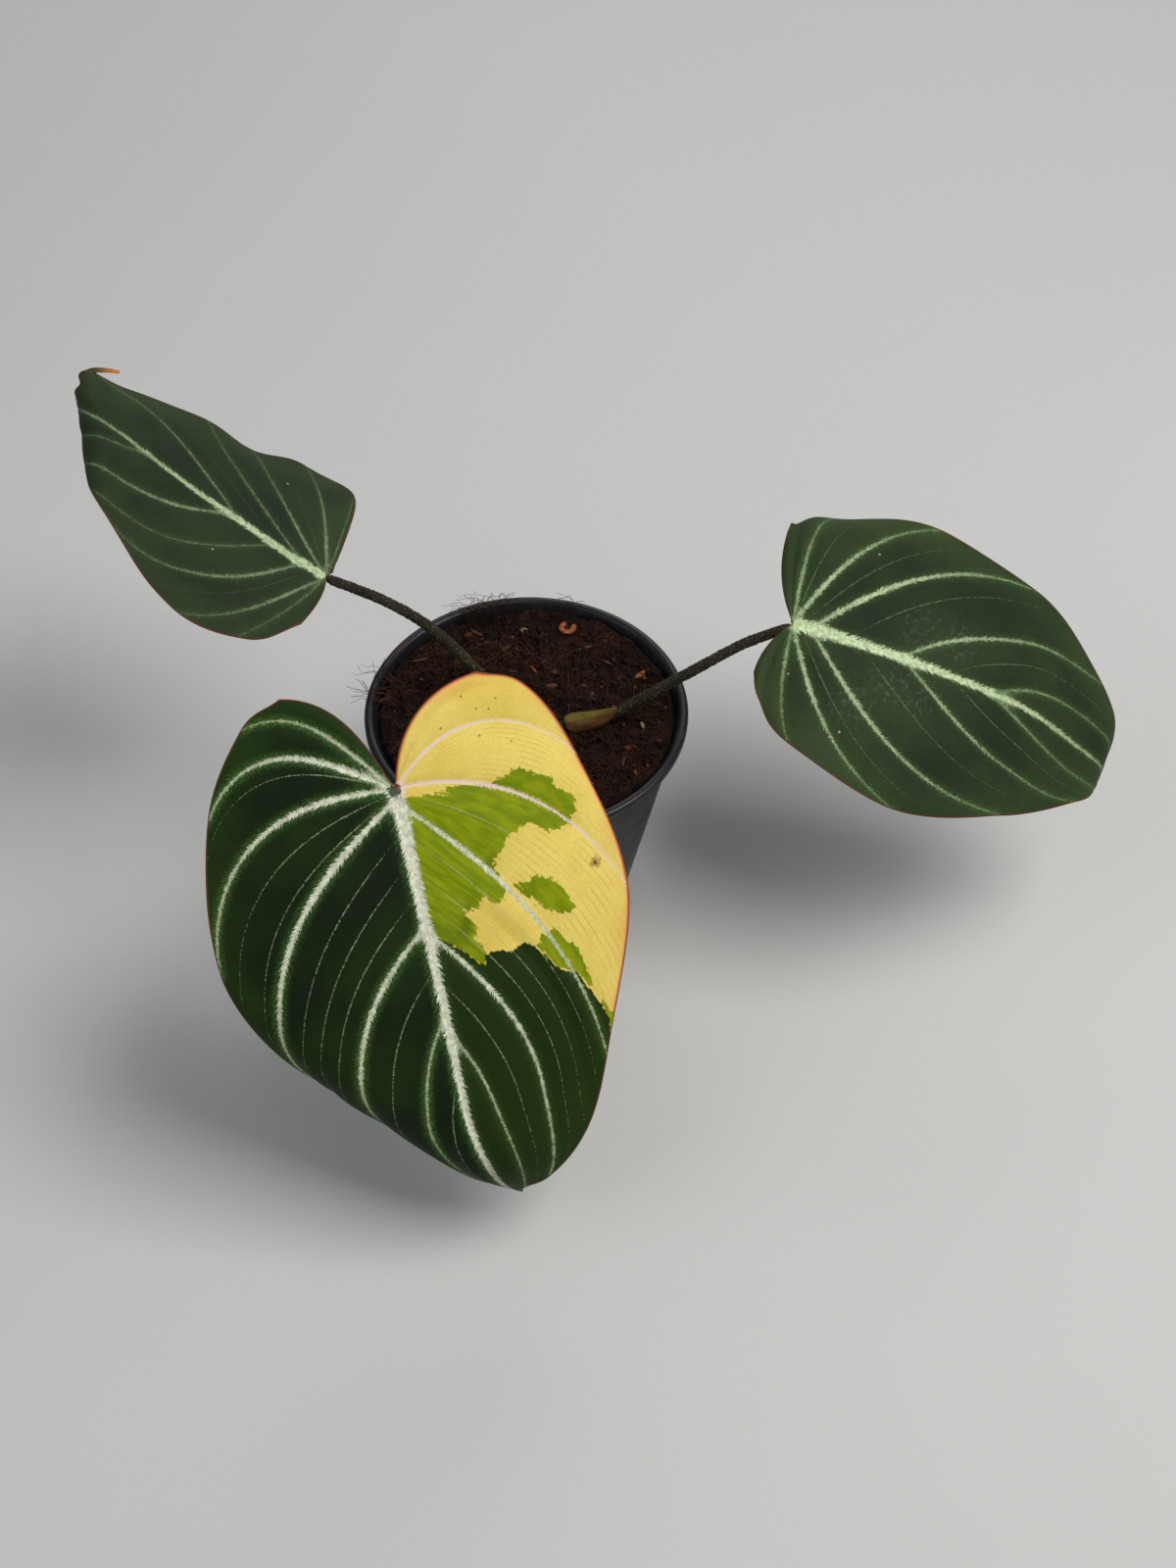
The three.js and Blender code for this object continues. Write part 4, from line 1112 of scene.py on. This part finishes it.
def leaf_face(name, dark, pale, vein_colour, vein_end, halo_colour, halo, feather, hair, hair_strength, marks,
              tissue=None, pink_veins=0, scuffs=()):
    """A blade's velvety upper skin with feathered veins. Marks are (places, radius, colour, strength)."""
    skin, wire = new_material(name, roughness=0.65, specular_ior_level=0.12, sheen_weight=0.03,
                              sheen_roughness=0.45)
    here = wire.here()
    flat = wire.vector("flat")
    number = wire.axis(flat, 2)
    lines = wire.use(feathered_veins, {"Feather": feather})
    green = wire.use(velvet_green, {"Dark": (*dark, 1), "Pale": (*pale, 1)})
    colour = wire.coat(green["Colour"], lines["Halo"], halo, halo_colour)
    colour = wire.coat(colour, lines["Specks"], 0.4, vein_end)
    vein_tone = wire.mix(lines["Strength"], vein_end, vein_colour)
    vein_tone = wire.mix(wire.patches(here, 600, 0.62, 0.4, 4, 0.6), vein_tone, wire.scaled(vein_tone, 0.7))
    if tissue:
        colour = tissue(wire, here, flat, number, colour)
        near_lobe = wire.step(wire.reckon("SUBTRACT", number, RIGHT_HALF + pink_veins), 0.3, -0.3)
        near_lobe = wire.times(near_lobe, wire.step(number, RIGHT_HALF - 1, RIGHT_HALF))
        vein_tone = wire.mix(near_lobe, vein_tone, (0.86, 0.68, 0.58))
    fine = wire.use(hairlines, {"Width": hair})[0]
    colour = wire.coat(colour, fine, hair_strength, vein_end)
    centre = wire.step(wire.value("core"), 0.3, 0.05)
    vein_tone = wire.coat(vein_tone, centre, 0.16, vein_end)
    colour = wire.mix(lines["Vein"], colour, vein_tone)
    for spots, radius, tint, strength in marks:
        colour = wire.coat(colour, freckles(wire, flat, spots, radius), strength, tint)
    if scuffs:
        scraped = wire.patches(wire.stretched(flat, (0.5, 0.5, 0)), 1, 0.5, 0.68, 5, 0.75)
        scraped = wire.times(freckles(wire, flat, scuffs, 11), scraped)
        colour = wire.coat(colour, scraped, 0.55, (0.12, 0.15, 0.13))
    edge = wire.step(wire.value("margin"), 0.75, 0.25)
    colour = wire.coat(colour, edge, 0.8, (0.13, 0.035, 0.012))
    relief = wire.plus(green["Height"], wire.times(lines["Vein"], 0.25))
    wire.dress(base_color=colour, normal=wire.bump(relief, 0.35, 0.0003))
    return skin


def leaf_back(name, colour, rib_colour, sectors=False):
    """The underside: paler, matt, with raised ribs. Sectors of other tissue show through in paler tones."""
    skin, wire = new_material(name, roughness=0.7, specular_ior_level=0.2)
    here = wire.here()
    ribs = wire.use(feathered_veins, {"Feather": 0.3})["Vein"]
    net = wire.net(here, 700)
    tissue = wire.mix(wire.step(net, 0, 0.12), tuple(1.25 * c for c in colour), colour)
    if sectors:
        cream = wire.mix(wire.grain(here, 60, 3), (0.6, 0.5, 0.2), (0.46, 0.36, 0.12))
        patch, border = sector_masks(wire)
        tissue = wire.mix(border, wire.mix(patch, cream, (0.25, 0.3, 0.06)), tissue)
    wire.dress(base_color=wire.mix(ribs, tissue, rib_colour), normal=wire.bump(net, 0.4, 0.0003))
    return skin


red_edge, wire = new_material("red-brown margin", roughness=0.6, specular_ior_level=0.3)
wire.dress(base_color=wire.mix(wire.grain(wire.here(), 300, 3), (0.12, 0.035, 0.012), (0.22, 0.09, 0.028)))
green_back = leaf_back("leaf underside", (0.075, 0.11, 0.045), (0.3, 0.33, 0.16))
front_back = leaf_back("variegated underside", (0.075, 0.11, 0.045), (0.4, 0.4, 0.24), sectors=True)
BROWN_DOTS = [(-22, 39), (-19, 36), (-20, 32), (-25, 28), (-16, 19), (-11, 31), (-7, 41)]
front_face = leaf_face(
    "variegated upper skin", dark=(0.004, 0.011, 0.0022), pale=(0.0125, 0.033, 0.003),
    vein_colour=(0.84, 0.87, 0.68), vein_end=(0.42, 0.5, 0.27), halo_colour=(0.026, 0.105, 0.005), halo=0.7,
    feather=1, hair=0.02, hair_strength=0.5,
    marks=[(BROWN_DOTS, 0.55, (0.3, 0.12, 0.03), 0.75), ([(38.5, 60)], 2.4, (0.34, 0.17, 0.04), 0.7),
           ([(38.5, 60)], 1, (0.1, 0.04, 0.015), 0.8), ([(0.6, -0.3)], 3, (0.014, 0.04, 0.008), 0.92),
           ([(-0.8, 0.8)], 1.1, (0.28, 0.05, 0.02), 0.9)],
    tissue=yellow_tissue, pink_veins=3.6)
blade("front_leaf", FRONT_LEAF, 1.15, 90, 1.5, [front_face, front_back, red_edge],
      "leaf_front")


# ---------------- right leaf
# The green blade on the right lies nearly level and curls down along its near edge. Its veins are pale and
# narrow and it carries a few whitish scuffs.
RIGHT_LEAF = dict(
    junction=(95.5, 0, 135), heading=102.7, dip=10.5, roll=-22.6,
    blade_arcs=[(60, 14), (60, 10), (30, 35)], lobe_arcs=[(8, 7), (20, 34.5)],
    sweep=[(-60, 0), (88, 1.6), (132, -5), (150, -11)], folds=[(4, 38, 110, 13, 53), (125, -8, -13, 18, 70)],
    curl_left=[(-30, 15), (50, 15), (150, 13.5)], curl_right=[(-30, 17.5), (50, 11), (150, 13)],
    left=[
        (0, 132.5, -9, 21.3, 1.1), (0, 107, -5, 30.3, 1.4), (0, 87.5, 9.5, 43.3, 2.2),
        (0, 64.5, 53.5, 54.1, 1.7), (6.5, 46, 94, 41.3, 2), (41.5, 33, 123.5, 18.5, 2.6),
        (77.5, 27, 137, 7.5, 1.3), (114, 20, 141.5, 4.2, 1), (147, 0, 147, 0, 1),
    ],
    right=[
        (0, 128, -10.5, 40, 0.9), (0, 107, -6.5, 44, 1.3), (0, 91.5, 9, 52.1, 3.4), (0, 68.5, 45, 54.1, 2.1),
        (6.5, 48.5, 88.5, 45.8, 1.8), (41.5, 52, 124, 28.9, 0.6), (77.5, 30, 142.5, 8, 1.2),
        (114, 25, 143.5, 4.2, 1), (147, 0, 147, 0, 1),
    ],
    veins_left=[(2, 0.6), (3, 0.85), (4, 0.9), (5, 0.7), (6, 0.45)],
    veins_right=[(1.85, 0.7), (3, 0.95), (4, 1.05), (5, 0.8), (6, 0.45)],
    hairs_left=[3.4, 4.5, 5.5], hairs_right=[2.4, 3.45, 4.4, 5.5],
    midrib=(2.5, 0.4),
)
right_face = leaf_face(
    "right leaf upper skin", dark=(0.0125, 0.024, 0.0095), pale=(0.03, 0.054, 0.017),
    vein_colour=(0.66, 0.82, 0.48), vein_end=(0.15, 0.23, 0.095), halo_colour=(0.035, 0.075, 0.015), halo=0.5,
    feather=1.2, hair=0.02, hair_strength=0.6, scuffs=[(46, 13), (60, 14), (38, -13), (50, -11), (28, -22)],
    marks=[([(3, -19), (26, -34), (24, 36)], 0.6, (0.62, 0.4, 0.33), 0.8),
           ([(0, 0)], 3, (0.5, 0.62, 0.34), 0.6)])
blade("right_leaf", RIGHT_LEAF, 1.2, 72, 1.2, [right_face, green_back, red_edge], "leaf_right")


# ---------------- left leaf
# The green blade on the left turns away and hangs at an angle. Its veins are faint, and its far tip is bent
# over and has begun to dry.
LEFT_LEAF = dict(
    junction=(-72.3, 24.8, 135), heading=285, dip=-24, roll=-5.3,
    blade_arcs=[(60, -9.3), (60, 3.8), (30, 10)], lobe_arcs=[(8, 14.4), (14, 20)],
    sweep=[(-60, 0), (0, 0), (50, -4.4), (95, -8.6), (120, -17)], folds=[(91.5, 0, 28, 5, 150)],
    curl_left=[(-30, 2), (40, 29.5), (150, 31)], curl_right=[(-30, 29), (40, 48), (150, 31)],
    left=[
        (0, 118, -1.5, 4, 0.5), (0, 87.5, 4, 50.2, 0.5), (0, 71.5, 25.5, 55.7, 2.7), (0, 38.5, 45, 44.8, 0.8),
        (10, 29, 69.5, 39.1, 1.8), (37, 33.5, 109.5, 17.3, 2.2), (76, 26.5, 111, 9.1, 1.4),
        (104, 27.5, 118, 4.4, 1), (120, 0, 120, 0, 1),
    ],
    right=[
        (0, 116.5, 0.5, 26.3, 0.5), (0, 84.5, 14, 42.1, 0.7), (0, 61.5, 39.5, 48.8, 2.7),
        (10, 57, 74, 37.1, 1.8), (37, 38.5, 104.5, 17.6, 1.7), (76, 30, 114.5, 7.8, 1.3),
        (104, 27, 118, 4.4, 1), (120, 0, 120, 0, 1),
    ],
    veins_left=[(1, 0.35), (2, 0.6), (3, 0.6), (3.85, 0.4), (5, 0.5)],
    veins_right=[(1.2, 0.35), (2, 0.6), (3, 0.65), (3.45, 0.3), (4.1, 0.65), (5, 0.3)],
    hairs_left=[2.5, 4.4], hairs_right=[2.5],
    midrib=(2.2, 0.3),
)
left_face = leaf_face(
    "left leaf upper skin", dark=(0.0125, 0.022, 0.0095), pale=(0.027, 0.046, 0.0165),
    vein_colour=(0.55, 0.7, 0.4), vein_end=(0.11, 0.165, 0.08), halo_colour=(0.03, 0.06, 0.015), halo=0.45,
    feather=1.2, hair=0, hair_strength=0.3,
    marks=[([(40, 20), (28, -35)], 0.6, (0.45, 0.4, 0.3), 0.8)])
blade("left_leaf", LEFT_LEAF, 1.2, 72, 1.2, [left_face, green_back, red_edge], "leaf_left")


# ---------------- dried tip
# The end of the left blade has dried to a small curled strip, brown-green where it joins and orange-red at
# its end.
TIP_PATH = [(-160.8, 80.2, 184.2), (-158, 81, 185.1), (-154.5, 81.2, 185.3), (-151, 81, 185.1),
            (-147.2, 80.5, 184.7)]
TIP_WIDTH = 3.4
TIP_ROWS = 12
TIP_CURL = 75
TIP_THICKNESS = 0.35

dried, wire = new_material("dried leaf tip", roughness=0.6, specular_ior_level=0.3)
run = wire.vector("run")
grain = wire.grain(wire.stretched(run, (0.4, 3.5, 1)), 1.5, 3, 0.6)
burnt = wire.step(wire.plus(wire.axis(run, 0), wire.times(grain, 3)), 6, 15)
brown_green = wire.mix(grain, (0.03, 0.03, 0.008), (0.09, 0.075, 0.025))
orange_red = wire.mix(grain, (0.5, 0.11, 0.02), (0.75, 0.3, 0.06))
wire.dress(base_color=wire.mix(burnt, brown_green, orange_red), normal=wire.bump(grain, 0.5, 0.0004))

line, length = arch(TIP_PATH, 12)
strip = bmesh.new()
run = strip.verts.layers.float_vector.new("run")
for corner, i, j in lattice(strip, len(line) - 1, TIP_ROWS):
    s, a = i / (len(line) - 1), math.radians(TIP_CURL * (2 * j / TIP_ROWS - 1))
    wide = TIP_WIDTH / 2 * (1 - 0.45 * s**2)
    corner.co = (Vector(line[i]) + Vector((0, wide * math.sin(a), 0.55 * wide * (math.cos(a) - 1)))) * MM
    corner[run] = (length * s, j / TIP_ROWS * TIP_WIDTH, 0)
roughen(strip.verts, 0.12, 500)
face_up(strip)
strip = add_piece("dried_tip", strip, [dried])
thicken(strip, "tip thickness", TIP_THICKNESS, -1)
